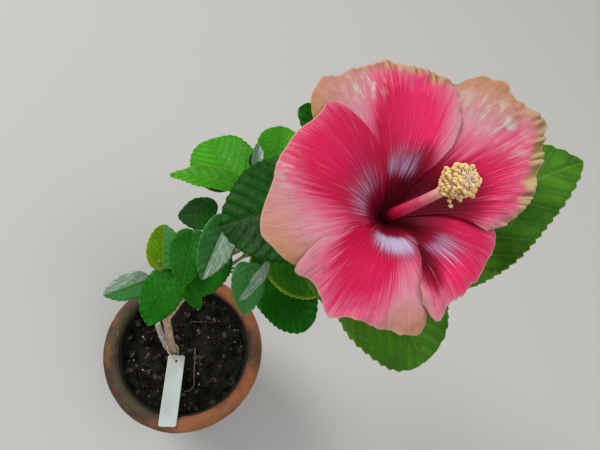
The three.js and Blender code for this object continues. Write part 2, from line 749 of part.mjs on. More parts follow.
// A mass starts as its stem, cut clear of its bough
function startMass(name, mass) {
  const cleared = oneBody(mass.after.reduce((solid, other) => solid.subtract(roomy[other]), stemSolid(mass)));
  growing[name] = { mass, parts: [cleared], blades: [] };
}

// Adds each leaf that stays in the mass's space and touches nothing that stands
function growLeaves(name, wanted) {
  const { mass, parts, blades } = growing[name];
  const rest = Object.keys(growing).filter((other) => other !== name);
  const others = rest.flatMap((other) => growing[other].parts);
  const near = [...Object.values(standing), ...others, ...blades];
  wanted.forEach((given) => {
    const leaf = leafSolids(mass.stem, given);
    const outside = leaf.grid.flat().some((p) => !inSpace(mass.space, p));
    const blocked = near.some((other) => meets(other, leaf.room) || meets(other, leaf.stalkRoom));
    if (outside || blocked) return;
    parts.push(leaf.blade, leaf.stalk);
    blades.push(leaf.blade);
    near.push(leaf.blade);
  });
}

place('pot', solidOf(potSolid()), 'clay');
place('liner', solidOf(linerSolid()), 'plastic');
place('soil', solidOf(soilSolid()), 'soil');
place('trunk', trunkSolid(), 'bark', trunkSolid(GAP));
place('cut_stub', oneBody(cutAtSoil(limbSolid(STUB)).subtract(trunkSolid(GAP))), 'stub');
place('label', labelSolid(), 'label');
place('label_tie', tieSolid(), 'string');
Object.entries(BOUGHS).forEach(([name, limb]) => growLimb(name, limb));
Object.entries(PETALS).forEach(([name, petal]) => place(name, solidOf(petalSolid(petal)), 'petal'));
place('calyx', calyxSolid(), 'green');
place('flower_stalk', stalkSolid(), 'green');
place('column', columnSolid(), 'column');
Object.entries(MASSES).forEach(([name, mass]) => startMass(name, mass));
Object.entries(MASSES).forEach(([name, mass]) => growLeaves(name, mass.leaves));
Object.entries(MASSES).forEach(([name, mass]) => growLeaves(name, spiralLeaves(mass.spiral)));
Object.entries(growing).forEach(([name, { parts }]) => place(name, fuse(parts), 'green'));

export default group;
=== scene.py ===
"""Dresses a young potted hibiscus with one very large bloom. Sizes are in millimetres until meshed."""

import logging
import math
from dataclasses import dataclass, field
from enum import Enum

import bpy
import numpy as np
from mathutils import Matrix, Vector, noise


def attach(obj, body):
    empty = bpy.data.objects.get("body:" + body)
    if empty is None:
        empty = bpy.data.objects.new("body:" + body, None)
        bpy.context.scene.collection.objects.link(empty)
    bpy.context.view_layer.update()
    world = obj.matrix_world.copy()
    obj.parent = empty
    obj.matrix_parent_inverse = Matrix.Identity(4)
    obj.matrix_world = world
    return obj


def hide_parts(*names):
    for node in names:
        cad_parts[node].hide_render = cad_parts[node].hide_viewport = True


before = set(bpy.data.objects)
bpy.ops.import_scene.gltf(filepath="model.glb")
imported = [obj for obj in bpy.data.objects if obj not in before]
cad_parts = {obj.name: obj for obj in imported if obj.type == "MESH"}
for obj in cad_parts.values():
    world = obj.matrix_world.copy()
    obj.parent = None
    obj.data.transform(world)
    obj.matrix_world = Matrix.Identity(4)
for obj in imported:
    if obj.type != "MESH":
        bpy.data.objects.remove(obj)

log = logging.getLogger("hibiscus")

MM = 0.001
BODY = "root"
TURN_STEP = 137.5
UPRIGHT = np.array([0.0, 0.0, 1.0])
TUBE_START = (0.3, -0.8, 0.52)
CAP_SHARE = 0.02
FULL_SPIN = (6.28, 6.28, 6.28)

Array = np.ndarray
Colour = tuple[int, int, int]
Point = tuple[float, float, float]
Path = tuple[Point, Point, Point]
Material = bpy.types.Material
Node = bpy.types.Node
Object = bpy.types.Object
Socket = bpy.types.NodeSocket
Tree = bpy.types.NodeTree
Value = float | tuple | Socket


def linear(red: int, green: int, blue: int) -> tuple[float, float, float, float]:
    """Turns a screen colour of 0 to 255 into the renderer's linear colour.

    Args:
        red: The red share.
        green: The green share.
        blue: The blue share.

    Returns:
        The linear colour with full alpha.
    """
    shares = [c / 255 for c in (red, green, blue)]
    curve = [s / 12.92 if s <= 0.04045 else ((s + 0.055) / 1.055) ** 2.4 for s in shares]
    return (*curve, 1.0)


def unit(vector: Array) -> Array:
    """Scales each vector to a length of one."""
    return vector / np.linalg.norm(vector, axis=-1, keepdims=True)


def smooth(low: float, high: float, value: Array) -> Array:
    """Rises smoothly from 0 at low to 1 at high."""
    share = np.clip((value - low) / (high - low), 0, 1)
    return share * share * (3 - 2 * share)


def bell(value: Array, at: float, width: float, power: int = 2) -> Array:
    """A soft hump of height one, flatter on top with a higher power."""
    return np.exp(-(((value - at) / width) ** power))


def circle(count: int) -> Array:
    """Angles in radians, spread evenly round a turn."""
    return 2 * np.pi * np.arange(count) / count


def heading(turn: float, lift: float) -> Array:
    """The way that a turn and a lift in degrees point to."""
    turn, lift = math.radians(turn), math.radians(lift)
    return np.array([math.cos(lift) * math.cos(turn), math.cos(lift) * math.sin(turn), math.sin(lift)])


def ball(lift: Array, turn: Array) -> tuple[Array, Array, Array]:
    """The x, y and z of a ball's points, in rings of a lift each."""
    x, y = (np.cos(lift)[:, None] * part for part in (np.cos(turn), np.sin(turn)))
    return x, y, np.sin(lift)[:, None] + 0 * x


def distances(line: Array) -> Array:
    """How far along a line each of its points is."""
    return np.concatenate([[0], np.cumsum(np.linalg.norm(np.diff(line, axis=0), axis=1))])


def soften(line: Array, times: int = 1) -> Array:
    """Evens out a line, with its ends kept.

    Args:
        line: The points or numbers, which are changed in place.
        times: How often they are evened out.

    Returns:
        The same line.
    """
    for _ in range(times):
        line[1:-1] = (line[:-2] + line[1:-1] * 2 + line[2:]) / 4
    return line


def noise_row(values: Array, seed: float) -> Array:
    """Soft noise along a row of numbers."""
    return np.array([noise.noise(Vector((v, seed, 0.37 * seed))) for v in values])


def along_path(path: Path, share: Array) -> Array:
    """Points on the curve through a path's start, middle and end.

    Args:
        path: The three points.
        share: Where on the curve, from 0 to 1.

    Returns:
        One point for each share.
    """
    start, middle, end = (np.array(p, float) for p in path)
    pull = 2 * middle - 0.5 * start - 0.5 * end
    t = np.asarray(share, float)[..., None]
    return (1 - t) ** 2 * start + 2 * t * (1 - t) * pull + t * t * end


def roughen(points: Array, size: float, seed: float, octaves: int = 3) -> Array:
    """Fractal noise of about -1 to 1 at each point.

    Args:
        points: The places, in millimetres.
        size: The size of the largest lumps.
        seed: Moves the pattern.
        octaves: How many finer layers are added.

    Returns:
        One value for each point.
    """
    flat = points.reshape(-1, 3) / size + seed
    values = [noise.fractal(Vector(p), 1.0, 2.0, octaves) for p in flat]
    return np.array(values).reshape(points.shape[:-1])


class Dice:
    """The same numbers between 0 and 1 as the part's own rule draws."""

    def __init__(self, seed: int) -> None:
        """Starts the row of numbers at a seed."""
        self.state = seed

    def draw(self) -> float:
        """Draws the next number."""
        self.state = self.state * 16807 % 2147483647
        return self.state / 2147483647

    def between(self, ends: tuple[float, float]) -> float:
        """Draws a number between two ends."""
        return ends[0] + (ends[1] - ends[0]) * self.draw()


@dataclass
class Patch:
    """Points with faces of four corners, values at the points and a material slot for each face."""

    points: Array
    faces: Array
    values: dict[str, Array] = field(default_factory=dict)
    slots: Array | int = 0

    def slot_list(self) -> Array:
        """The slot of each face."""
        return np.broadcast_to(np.asarray(self.slots, int), (len(self.faces),))

    def flipped(self) -> "Patch":
        """The same patch with its faces turned over."""
        self.faces = self.faces[:, ::-1]
        return self

    def swell(self, line: Array, height: Array) -> None:
        """Moves a tube's points out from its middle line.

        Args:
            line: The points of its middle.
            height: How far each point moves.
        """
        sides = len(self.points) // (len(line) + 2)
        centre = np.repeat(np.concatenate([line[:1], line, line[-1:]]), sides, 0)
        self.points = self.points + unit(self.points - centre + 1e-9) * height[:, None]

    def greened(self, foot: float, tip: float) -> "Patch":
        """The same tube with how young its bark is, from its foot to its tip."""
        self.values["young"] = np.interp(self.values["along"], (0, 1), (foot, tip))
        return self


def grid_faces(rows: int, columns: int, ring: bool = False, start: int = 0) -> Array:
    """Faces of a grid of points, counted row by row.

    Args:
        rows: How many rows of points there are.
        columns: How many points each row has.
        ring: Whether each row closes on itself.
        start: The number of the first point.

    Returns:
        Four corners for each face.
    """
    wide = columns if ring else columns - 1
    i, j = np.meshgrid(np.arange(rows - 1), np.arange(wide), indexing="ij")
    after = (j + 1) % columns
    corners = [i * columns + j, (i + 1) * columns + j, (i + 1) * columns + after, i * columns + after]
    return np.stack([c.ravel() for c in corners], 1) + start


def cap_faces(ring: range) -> Array:
    """Faces that close a ring of points."""
    return np.array([[ring[k], ring[k + 1], ring[-k - 2], ring[-k - 1]] for k in range(len(ring) // 2 - 1)])


def join(patches: list[Patch]) -> Patch:
    """Joins patches into one.

    Args:
        patches: The patches, each with its own values.

    Returns:
        The joined patch, with 0 where a patch lacks a value.
    """
    counts = [len(p.points) for p in patches]
    starts = np.cumsum([0, *counts[:-1]])
    values = {
        name: np.concatenate([p.values.get(name, np.zeros(n)) for p, n in zip(patches, counts)])
        for name in sorted({name for p in patches for name in p.values})
    }
    points = np.concatenate([p.points for p in patches])
    faces = np.concatenate([p.faces + s for p, s in zip(patches, starts)])
    return Patch(points, faces, values, np.concatenate([p.slot_list() for p in patches]))


def shell(
    top: Array, bottom: Array, values: dict[str, Array] | None = None, slots: Array | None = None
) -> Patch:
    """Closes a thin sheet from its upper and its lower grid.

    Args:
        top: The upper points, as rows of columns.
        bottom: The lower points in the same order.
        values: Values on the grid; both sides get them, and the value named under is 1 below.
        slots: The slot of each face of the grid, 0 if not given.

    Returns:
        The closed patch, with its faces outwards.
    """
    rows, columns = top.shape[:2]
    count = rows * columns
    rim = list(range(columns - 1))
    rim += [i * columns + columns - 1 for i in range(rows - 1)]
    rim += [(rows - 1) * columns + j for j in range(columns - 1, 0, -1)]
    rim += [i * columns for i in range(rows - 1, 0, -1)]
    a = np.array(rim)
    b = np.roll(a, -1)
    walls = np.stack([a, b, b + count, a + count], 1)
    both = {name: np.tile(v.ravel(), 2) for name, v in (values or {}).items()}
    both["under"] = np.repeat([0.0, 1.0], count)
    faces = [grid_faces(rows, columns), grid_faces(rows, columns, start=count)[:, ::-1], walls]
    flat = np.zeros((rows - 1) * (columns - 1), int) if slots is None else slots.ravel()
    points = np.concatenate([top.reshape(-1, 3), bottom.reshape(-1, 3)])
    all_slots = np.concatenate([flat, flat, np.full(len(walls), flat[0])])
    return Patch(points, np.concatenate(faces), both, all_slots)


def tube(line: Array, radii: Array, sides: int) -> Patch:
    """A round tube along a line, closed at both ends.

    Args:
        line: The points of its middle.
        radii: Its radius at each point, or at each point and side.
        sides: How many sides it has.

    Returns:
        The patch, with its share of the length in the value named along.
    """
    ahead = unit(np.gradient(line, axis=0))
    normal = np.zeros_like(line)
    normal[0] = unit(np.cross(ahead[0], TUBE_START))
    for i in range(1, len(line)):
        normal[i] = unit(normal[i - 1] - ahead[i] * (normal[i - 1] @ ahead[i]))
    across = np.cross(ahead, normal)
    turn = circle(sides)[None, :, None]
    radii = np.asarray(radii, float).reshape(len(line), -1) * np.ones((1, sides))
    ring = normal[:, None] * np.cos(turn) + across[:, None] * np.sin(turn)
    points = line[:, None] + ring * radii[..., None]
    foot, tip = (points[[k]] * CAP_SHARE + line[k] * (1 - CAP_SHARE) for k in (0, -1))
    points = np.concatenate([foot, points, tip])
    along = np.repeat(np.concatenate([[0], np.linspace(0, 1, len(line)), [1]]), sides)
    last = (len(points) - 1) * sides
    faces = [
        grid_faces(len(points), sides, ring=True)[:, ::-1],
        cap_faces(range(sides - 1, -1, -1)),
        cap_faces(range(last, last + sides)),
    ]
    return Patch(points.reshape(-1, 3), np.concatenate(faces), {"along": along})


def add_object(name: str, data: bpy.types.ID) -> Object:
    """Adds an object to the scene.

    Args:
        name: The object's name.
        data: Its mesh, light or camera.

    Returns:
        The object.
    """
    made = bpy.data.objects.new(name, data)
    bpy.context.scene.collection.objects.link(made)
    return made


def settled_mesh(thing: Object) -> bpy.types.Mesh:
    """Takes the mesh that an object's modifiers give, and removes them.

    Args:
        thing: The object.

    Returns:
        The mesh.
    """
    graph = bpy.context.evaluated_depsgraph_get()
    mesh = bpy.data.meshes.new_from_object(thing.evaluated_get(graph), depsgraph=graph)
    thing.modifiers.clear()
    return mesh


def make_object(name: str, patch: Patch, materials: list[Material]) -> Object:
    """Makes an object of a patch.

    Args:
        name: The object's name.
        patch: Its mesh in millimetres.
        materials: Its materials, in the order of the patch's slots.

    Returns:
        The object.
    """
    mesh = bpy.data.meshes.new(name)
    count = len(patch.faces)
    mesh.vertices.add(len(patch.points))
    mesh.vertices.foreach_set("co", (patch.points * MM).astype(np.float32).ravel())
    mesh.loops.add(count * 4)
    mesh.loops.foreach_set("vertex_index", patch.faces.astype(np.int32).ravel())
    mesh.polygons.add(count)
    mesh.polygons.foreach_set("loop_start", np.arange(0, count * 4, 4, dtype=np.int32))
    mesh.polygons.foreach_set("material_index", patch.slot_list().astype(np.int32))
    mesh.polygons.foreach_set("use_smooth", np.ones(count, bool))
    for key, value in patch.values.items():
        layer = mesh.attributes.new(key, "FLOAT", "POINT")
        layer.data.foreach_set("value", value.astype(np.float32))
    for material in materials:
        mesh.materials.append(material)
    mesh.update(calc_edges=True)
    mesh.validate()
    return add_object(name, mesh)


def make_piece(
    name: str, patch: Patch, materials: list[Material], replaced: tuple[str, ...] = ()
) -> Object:
    """Makes an object of a patch and hands it to the frame."""
    return hand_over(make_object(name, patch, materials), replaced)


def cut(piece: Object, drill: Object) -> None:
    """Cuts a drill's shape out of a piece and removes the drill.

    Args:
        piece: The piece.
        drill: The drill.
    """
    modifier = piece.modifiers.new("cut", "BOOLEAN")
    modifier.solver = "EXACT"
    modifier.object = drill
    piece.data = settled_mesh(piece)
    bpy.data.objects.remove(drill)


def hand_over(piece: Object, replaced: tuple[str, ...] = ()) -> Object:
    """Lets a finished piece ride on the part's body.

    Args:
        piece: The finished piece.
        replaced: The solids that it stands for.

    Returns:
        The same piece.
    """
    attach(piece, BODY)
    if replaced:
        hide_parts(*replaced)
    log.info("%s: %d faces", piece.name, len(piece.data.polygons))
    return piece


# Shading


class Nodes:
    """Adds nodes to a tree and links them."""

    def __init__(self, tree: Tree) -> None:
        """Works on one tree."""
        self.tree = tree

    @property
    def shader(self) -> Node:
        """The material's main shader."""
        return self.tree.nodes["Principled BSDF"]

    def add(self, kind: str, inputs: dict[str, Value] | None = None, **settings: object) -> Node:
        """Adds a node.

        Args:
            kind: The node's type name.
            inputs: Values or sockets for its inputs, by name.
            **settings: The node's own settings.

        Returns:
            The node.
        """
        node = self.tree.nodes.new(kind)
        for name, value in settings.items():
            setattr(node, name, value)
        for name, value in (inputs or {}).items():
            self.put(node.inputs[name], value)
        return node

    def put(self, socket: Socket, value: Value) -> None:
        """Links a socket to an input, or sets the input's value.

        Args:
            socket: The input.
            value: A socket or a value; a colour is given as on a screen, from 0 to 255.
        """
        if isinstance(value, Socket):
            self.tree.links.new(value, socket)
        else:
            socket.default_value = linear(*value) if socket.type == "RGBA" else value

    def math(self, operation: str, *terms: Value) -> Socket:
        """Works out a number.

        Args:
            operation: The name of the sum.
            *terms: One to three numbers.

        Returns:
            The number.
        """
        node = self.add("ShaderNodeMath", operation=operation)
        for socket, term in zip(node.inputs, terms):
            self.put(socket, term)
        return node.outputs[0]

    def times(self, value: Value, share: Value) -> Socket:
        """Multiplies a number by a share."""
        return self.math("MULTIPLY", value, share)

    def plus(self, value: Value, share: Value, more: Value) -> Socket:
        """Multiplies a number by a share and adds more."""
        return self.math("MULTIPLY_ADD", value, share, more)

    def mix(self, share: Value, first: Value, second: Value, blend: str = "MIX") -> Socket:
        """Mixes two colours.

        Args:
            share: How much of the second there is.
            first: The first colour.
            second: The second colour.
            blend: The way of mixing.

        Returns:
            The colour.
        """
        node = self.add("ShaderNodeMix", data_type="RGBA", blend_type=blend, clamp_factor=True)
        for index, value in ((0, share), (6, first), (7, second)):
            self.put(node.inputs[index], value)
        return node.outputs[2]

    def paint(self, colour: Value, *coats: tuple[Value, Value]) -> Socket:
        """Lays coats over a colour.

        Args:
            colour: The colour below.
            *coats: The mask and the colour of each coat.

        Returns:
            The colour.
        """
        for mask, coat in coats:
            colour = self.mix(mask, colour, coat)
        return colour

    def rise(self, value: Value, low: float, high: float, start: float = 0.0, end: float = 1.0) -> Socket:
        """Goes smoothly from start to end as a value goes from low to high.

        Args:
            value: The value.
            low: Where the way begins.
            high: Where it ends.
            start: The number up to low.
            end: The number from high on.

        Returns:
            The number.
        """
        node = self.add("ShaderNodeMapRange", interpolation_type="SMOOTHSTEP", clamp=True)
        names = ("Value", "From Min", "From Max", "To Min", "To Max")
        for name, term in zip(names, (value, low, high, start, end)):
            self.put(node.inputs[name], term)
        return node.outputs["Result"]

    def fall(self, value: Value, low: float, high: float, most: float = 1.0) -> Socket:
        """Goes smoothly from most down to 0 as a value goes from low to high."""
        return self.rise(value, low, high, most, 0.0)

    def read(self, name: str) -> Socket:
        """Reads one of the mesh's own values."""
        return self.add("ShaderNodeAttribute", attribute_name=name).outputs["Fac"]

    def place(self) -> Socket:
        """The surface's own place."""
        return self.add("ShaderNodeTexCoord").outputs["Object"]

    def noise(self, where: Value, scale: float, detail: float = 3.0, rough: float = 0.55) -> Socket:
        """Soft noise of 0 to 1."""
        inputs = {"Vector": where, "Scale": scale, "Detail": detail, "Roughness": rough}
        return self.add("ShaderNodeTexNoise", inputs).outputs["Fac"]

    def cells(self, where: Value, scale: float, feature: str) -> Socket:
        """The distance within the cells of a random net."""
        node = self.add("ShaderNodeTexVoronoi", {"Vector": where, "Scale": scale}, feature=feature)
        return node.outputs["Distance"]

    def vector(self, x: Value, y: Value) -> Socket:
        """Builds a flat vector from two numbers."""
        return self.add("ShaderNodeCombineXYZ", {"X": x, "Y": y}).outputs[0]

    def ramp(self, share: Value, stops: tuple[tuple[float, Colour], ...]) -> Socket:
        """Runs through colours as a value goes from 0 to 1.

        Args:
            share: The value.
            stops: The place and the colour of each stop.

        Returns:
            The colour.
        """
        node = self.add("ShaderNodeValToRGB", {"Fac": share})
        elements = node.color_ramp.elements
        while len(elements) < len(stops):
            elements.new(1.0)
        for element, (place, colour) in zip(elements, stops):
            element.position = place
            element.color = linear(*colour)
        return node.outputs["Color"]

    def group(self, tree: Tree, **inputs: Value) -> Node:
        """Places a node group.

        Args:
            tree: The group.
            **inputs: Its inputs by name, with blanks as underlines.

        Returns:
            The node.
        """
        node = self.add("ShaderNodeGroup", node_tree=tree)
        for name, value in inputs.items():
            self.put(node.inputs[name.replace("_", " ")], value)
        return node

    def finish(self, colour: Value, rough: Value, relief: Value, bump: tuple[float, float],
               gloss: float = 0.5, sheen: float = 0.0) -> None:
        """Sets what the main shader reads.

        Args:
            colour: The base colour.
            rough: The roughness.
            relief: The height of the fine relief, from 0 to 1.
            bump: The relief's strength and its depth in metres.
            gloss: The specular level.
            sheen: The sheen's weight.
        """
        strength, depth = bump
        node = self.add("ShaderNodeBump", {"Height": relief, "Strength": strength, "Distance": depth})
        names = ("Base Color", "Roughness", "Specular IOR Level", "Sheen Weight", "Normal")
        for name, value in zip(names, (colour, rough, gloss, sheen, node.outputs[0])):
            self.put(self.shader.inputs[name], value)


def start_material(name: str) -> tuple[Material, Nodes]:
    """Makes a material with its main shader.

    Args:
        name: The material's name.

    Returns:
        The material, and the nodes to work on it.
    """
    material = bpy.data.materials.new(name)
    material.use_nodes = True
    return material, Nodes(material.node_tree)


def mottle_group() -> Tree:
    """Builds the group that varies a colour in soft patches and fine grains.

    Returns:
        The group, with a colour and the mask of its patches.
    """
    tree = bpy.data.node_groups.new("mottle", "ShaderNodeTree")
    for label, kind, value in (
        ("Colour", "NodeSocketColor", (0.5, 0.5, 0.5, 1)),
        ("Patch colour", "NodeSocketColor", (0.3, 0.3, 0.3, 1)),
        ("Patch scale", "NodeSocketFloat", 30.0),
        ("Patch share", "NodeSocketFloat", 0.5),
        ("Grain scale", "NodeSocketFloat", 900.0),
        ("Grain share", "NodeSocketFloat", 0.2),
    ):
        tree.interface.new_socket(label, in_out="INPUT", socket_type=kind).default_value = value
    for label, kind in (("Colour", "NodeSocketColor"), ("Mask", "NodeSocketFloat")):
        tree.interface.new_socket(label, in_out="OUTPUT", socket_type=kind)
    nodes = Nodes(tree)
    ins, outs = nodes.add("NodeGroupInput").outputs, nodes.add("NodeGroupOutput").inputs
    where = nodes.place()
    patches = nodes.add("ShaderNodeTexNoise", {"Vector": where, "Scale": ins["Patch scale"], "Detail": 4.0})
    mask = nodes.times(nodes.rise(patches.outputs["Fac"], 0.38, 0.62), ins["Patch share"])
    colour = nodes.mix(mask, ins["Colour"], ins["Patch colour"])
    grain = nodes.add("ShaderNodeTexNoise", {"Vector": where, "Scale": ins["Grain scale"], "Detail": 2.0})
    value = nodes.plus(nodes.math("SUBTRACT", grain.outputs["Fac"], 0.5), ins["Grain share"], 1.0)
    tinted = nodes.add("ShaderNodeVectorMath", {"Scale": value}, operation="SCALE")
    nodes.put(tinted.inputs[0], colour)
    nodes.put(outs["Colour"], tinted.outputs[0])
    nodes.put(outs["Mask"], mask)
    return tree


class Tint(Enum):
    """The leaves' colours, each with its own material slot."""

    MID = 0
    FRESH = 1
    DEEP = 2
    BLUE = 3
    # Painted sheen: a pale, streaked tint that stands for light reflected off a leaf, over the leaf's own
    # green.
    SILVER = 4
    LIME = 5
    RICH = 6
    DARK = 7
    EDGED = 8


@dataclass(frozen=True)
class LeafFinish:
    """The finish of a leaf's blade, read from the blade's own values."""

    upper: Colour
    deep: Colour
    vein: Colour
    edge: Colour
    under: Colour
    roughness: float = 0.45
    gloss: float = 0.09
    lines: float = 0.22
    # valley_shade: how much painted shade the valleys between the swellings get.
    valley_shade: float = 0.65
    rim: float = 1.1
    sheen_streaks: float = 0.0
    net: float = 330.0
    bump: tuple[float, float] = (0.35, 0.0007)

    def material(self, name: str, mottle: Tree) -> Material:
        """Builds the material.

        Args:
            name: Its name.
            mottle: The group that varies a colour.

        Returns:
            The material.
        """
        material, nodes = start_material(name)
        where, across, phase = nodes.place(), nodes.read("rib"), nodes.read("phase")
        near = nodes.math("ABSOLUTE", nodes.math("SUBTRACT", phase, nodes.math("ROUND", phase)))
        side_veins = nodes.fall(nodes.times(near, nodes.read("gap")), 0.12, 0.6)
        midrib = nodes.fall(nodes.math("ABSOLUTE", across), 0.35, 0.9)
        veins = nodes.math("MAXIMUM", side_veins, midrib)
        net = nodes.cells(where, self.net, "DISTANCE_TO_EDGE")
        varied = nodes.group(
            mottle, Colour=self.upper, Patch_colour=self.deep, Patch_scale=30.0, Patch_share=0.6,
            Grain_scale=1500.0, Grain_share=0.2,
        )
        colour = nodes.paint(
            varied.outputs["Colour"],
            # Painted shade: the blade takes its deep colour in the valleys between the swellings, along the
            # veins.
            (nodes.times(nodes.fall(nodes.read("swell"), 0.05, 0.8), self.valley_shade), self.deep),
            (nodes.times(nodes.fall(net, 0.0, 0.12), 0.1), self.vein),
            (nodes.times(veins, self.lines), self.vein),
            (nodes.fall(nodes.read("edge"), self.rim * 0.3, self.rim, 0.8), self.edge),
        )
        # Painted sheen: pale streaks laid across the blade.
        if self.sheen_streaks:
            sheen_noise = nodes.noise(nodes.vector(nodes.times(across, 0.55), nodes.times(phase, 0.5)), 1.0, 4.0)
            colour = nodes.mix(nodes.rise(sheen_noise, 0.5, 0.62, 0.0, self.sheen_streaks), colour, self.vein)
        colour = nodes.mix(nodes.read("under"), colour, self.under)
        rough = nodes.rise(nodes.noise(where, 60.0), 0.3, 0.7, self.roughness - 0.06, self.roughness + 0.1)
        relief = nodes.plus(nodes.noise(where, 700.0, 2.0), 0.25, nodes.times(nodes.rise(net, 0.0, 0.3), 0.5))
        nodes.finish(colour, rough, nodes.plus(veins, -0.7, relief), self.bump, self.gloss)
        return material


LEAF_FINISHES = {
    Tint.MID: LeafFinish(
        (76, 136, 26), (26, 74, 8), (120, 168, 76), (122, 160, 44), (104, 146, 76), lines=0.3, valley_shade=0.4
    ),
    Tint.FRESH: LeafFinish(
        (76, 168, 24), (38, 120, 10), (126, 190, 74), (128, 182, 50), (128, 176, 84), roughness=0.38
    ),
    Tint.DEEP: LeafFinish((28, 92, 22), (8, 50, 8), (70, 122, 50), (42, 102, 24), (84, 128, 68)),
    Tint.BLUE: LeafFinish(
        (78, 146, 76), (42, 110, 42), (112, 160, 104), (86, 150, 78), (124, 158, 114), valley_shade=0.75
    ),
    # Painted sheen: pale green with white streaks for reflected light.
    Tint.SILVER: LeafFinish(
        (166, 196, 168), (116, 158, 118), (226, 236, 224), (100, 146, 84), (60, 110, 52), roughness=0.55,
        lines=0.1, sheen_streaks=0.6,
    ),
    Tint.LIME: LeafFinish((124, 164, 14), (52, 124, 8), (150, 184, 60), (176, 186, 30), (140, 176, 80)),
    Tint.RICH: LeafFinish(
        (34, 126, 14), (10, 80, 5), (88, 160, 56), (56, 132, 20), (96, 146, 74), roughness=0.38
    ),
    Tint.DARK: LeafFinish(
        (28, 94, 12), (8, 46, 4), (66, 124, 50), (48, 104, 20), (80, 122, 66), roughness=0.4, gloss=0.12,
        lines=0.35, valley_shade=0.55,
    ),
    Tint.EDGED: LeafFinish(
        (84, 168, 40), (38, 116, 18), (136, 190, 80), (176, 204, 50), (110, 150, 70), rim=4.5
    ),
}


@dataclass(frozen=True)
class PetalFinish:
    """The finish of the petals, read from the bloom's own values."""

    throat: Colour = (92, 5, 26)
    eye: Colour = (146, 8, 44)
    heart: Colour = (198, 18, 64)
    hot: Colour = (240, 44, 104)
    pink: Colour = (226, 96, 132)
    pale: Colour = (218, 146, 162)
    tan: Colour = (188, 138, 96)
    rim: Colour = (214, 190, 140)
    band: Colour = (196, 174, 124)
    # Painted shade in the troughs of the band's crinkles.
    crease_shade: Colour = (146, 118, 76)
    veil: Colour = (150, 66, 108)
    halo: Colour = (208, 200, 232)
    fleck: Colour = (202, 204, 188)
    under: Colour = (222, 146, 158)
    roughness: float = 0.55
    gloss: float = 0.1
    bump: tuple[float, float] = (0.35, 0.0006)

    def material(self) -> Material:
        """Builds the material.

        Returns:
            The material.
        """
        material, nodes = start_material("petal")
        angle, radius = nodes.read("angle"), nodes.read("radius")

        def rays(turns: float, steps: float) -> Socket:
            """Noise drawn out along the radius."""
            return nodes.noise(nodes.vector(nodes.times(angle, turns), nodes.times(radius, steps)), 1.0)

        fine, broad, spots = rays(90.0, 0.03), rays(18.0, 0.028), rays(20.0, 0.07)
        streak, sweep = (nodes.math("SUBTRACT", noise_value, 0.5) for noise_value in (fine, broad))
        plain, halo = nodes.read("tone"), nodes.read("halo")
        loose = nodes.times(streak, nodes.rise(plain, -0.4, -0.04, 0.15, 0.62))
        tone = nodes.plus(sweep, 0.34, nodes.math("ADD", plain, loose))
        depth = nodes.plus(streak, 16.0, nodes.read("depth"))
        colour = nodes.paint(
            nodes.mix(nodes.read("glow"), self.heart, self.hot),
            (nodes.rise(tone, -0.12, 0.12), self.pink),
            (nodes.rise(tone, 0.04, 0.36), nodes.mix(nodes.read("tan"), self.pale, self.tan)),
            # The eye and throat colours fall where depth is low; where the eye's reach is stretched on two
            # petals, they are painted shade.
            (nodes.fall(depth, -4.0, 9.0, 0.95), self.eye),
            (nodes.fall(depth, -15.0, -1.0), self.throat),
            (nodes.rise(halo, 0.0, 0.8, 0.0, 0.75), self.veil),
            (nodes.rise(nodes.plus(streak, 2.6, halo), 0.3, 1.0, 0.0, 0.95), self.halo),
            (nodes.times(nodes.read("fleck"), nodes.times(nodes.rise(spots, 0.46, 0.6), 0.95)), self.fleck),
        )
        veins = nodes.fall(nodes.math("ABSOLUTE", streak), 0.0, 0.03, 0.3)
        # Painted shade: the tan band darkens to the crease colour in the troughs of its crinkles.
        band_with_shade = nodes.mix(nodes.rise(nodes.read("crinkle"), -0.6, 0.7), self.crease_shade, self.band)
        colour = nodes.paint(
            nodes.mix(veins, colour, self.eye, "MULTIPLY"),
            (nodes.read("band"), band_with_shade),
            (nodes.fall(nodes.read("rim"), 0.25, 1.2, 0.55), self.rim),
        )
        colour = nodes.mix(nodes.read("under"), colour, nodes.mix(0.65, colour, self.under))
        relief = nodes.plus(fine, 0.7, nodes.times(nodes.noise(nodes.place(), 420.0), 0.3))
        nodes.finish(colour, self.roughness, relief, self.bump, self.gloss)
        return material


@dataclass(frozen=True)
class PlainFinish:
    """A finish of one colour with soft patches, fine grains and a small relief."""

    name: str
    colour: Colour
    patch: Colour
    roughness: float = 0.7
    gloss: float = 0.4
    patch_scale: float = 40.0
    patch_share: float = 0.6
    grain_scale: float = 1200.0
    grain_share: float = 0.3
    bump_scale: float = 900.0
    bump: float = 0.3
    depth: float = 0.0004
    sheen: float = 0.0

    def material(self, mottle: Tree) -> Material:
        """Builds the material.

        Args:
            mottle: The group that varies a colour.

        Returns:
            The material.
        """
        material, nodes = start_material(self.name)
        varied = nodes.group(
            mottle, Colour=self.colour, Patch_colour=self.patch, Patch_scale=self.patch_scale,
            Patch_share=self.patch_share, Grain_scale=self.grain_scale, Grain_share=self.grain_share,
        ).outputs
        rough = nodes.plus(varied["Mask"], 0.15, self.roughness)
        relief = nodes.noise(nodes.place(), self.bump_scale)
        nodes.finish(varied["Colour"], rough, relief, (self.bump, self.depth), self.gloss, self.sheen)
        return material


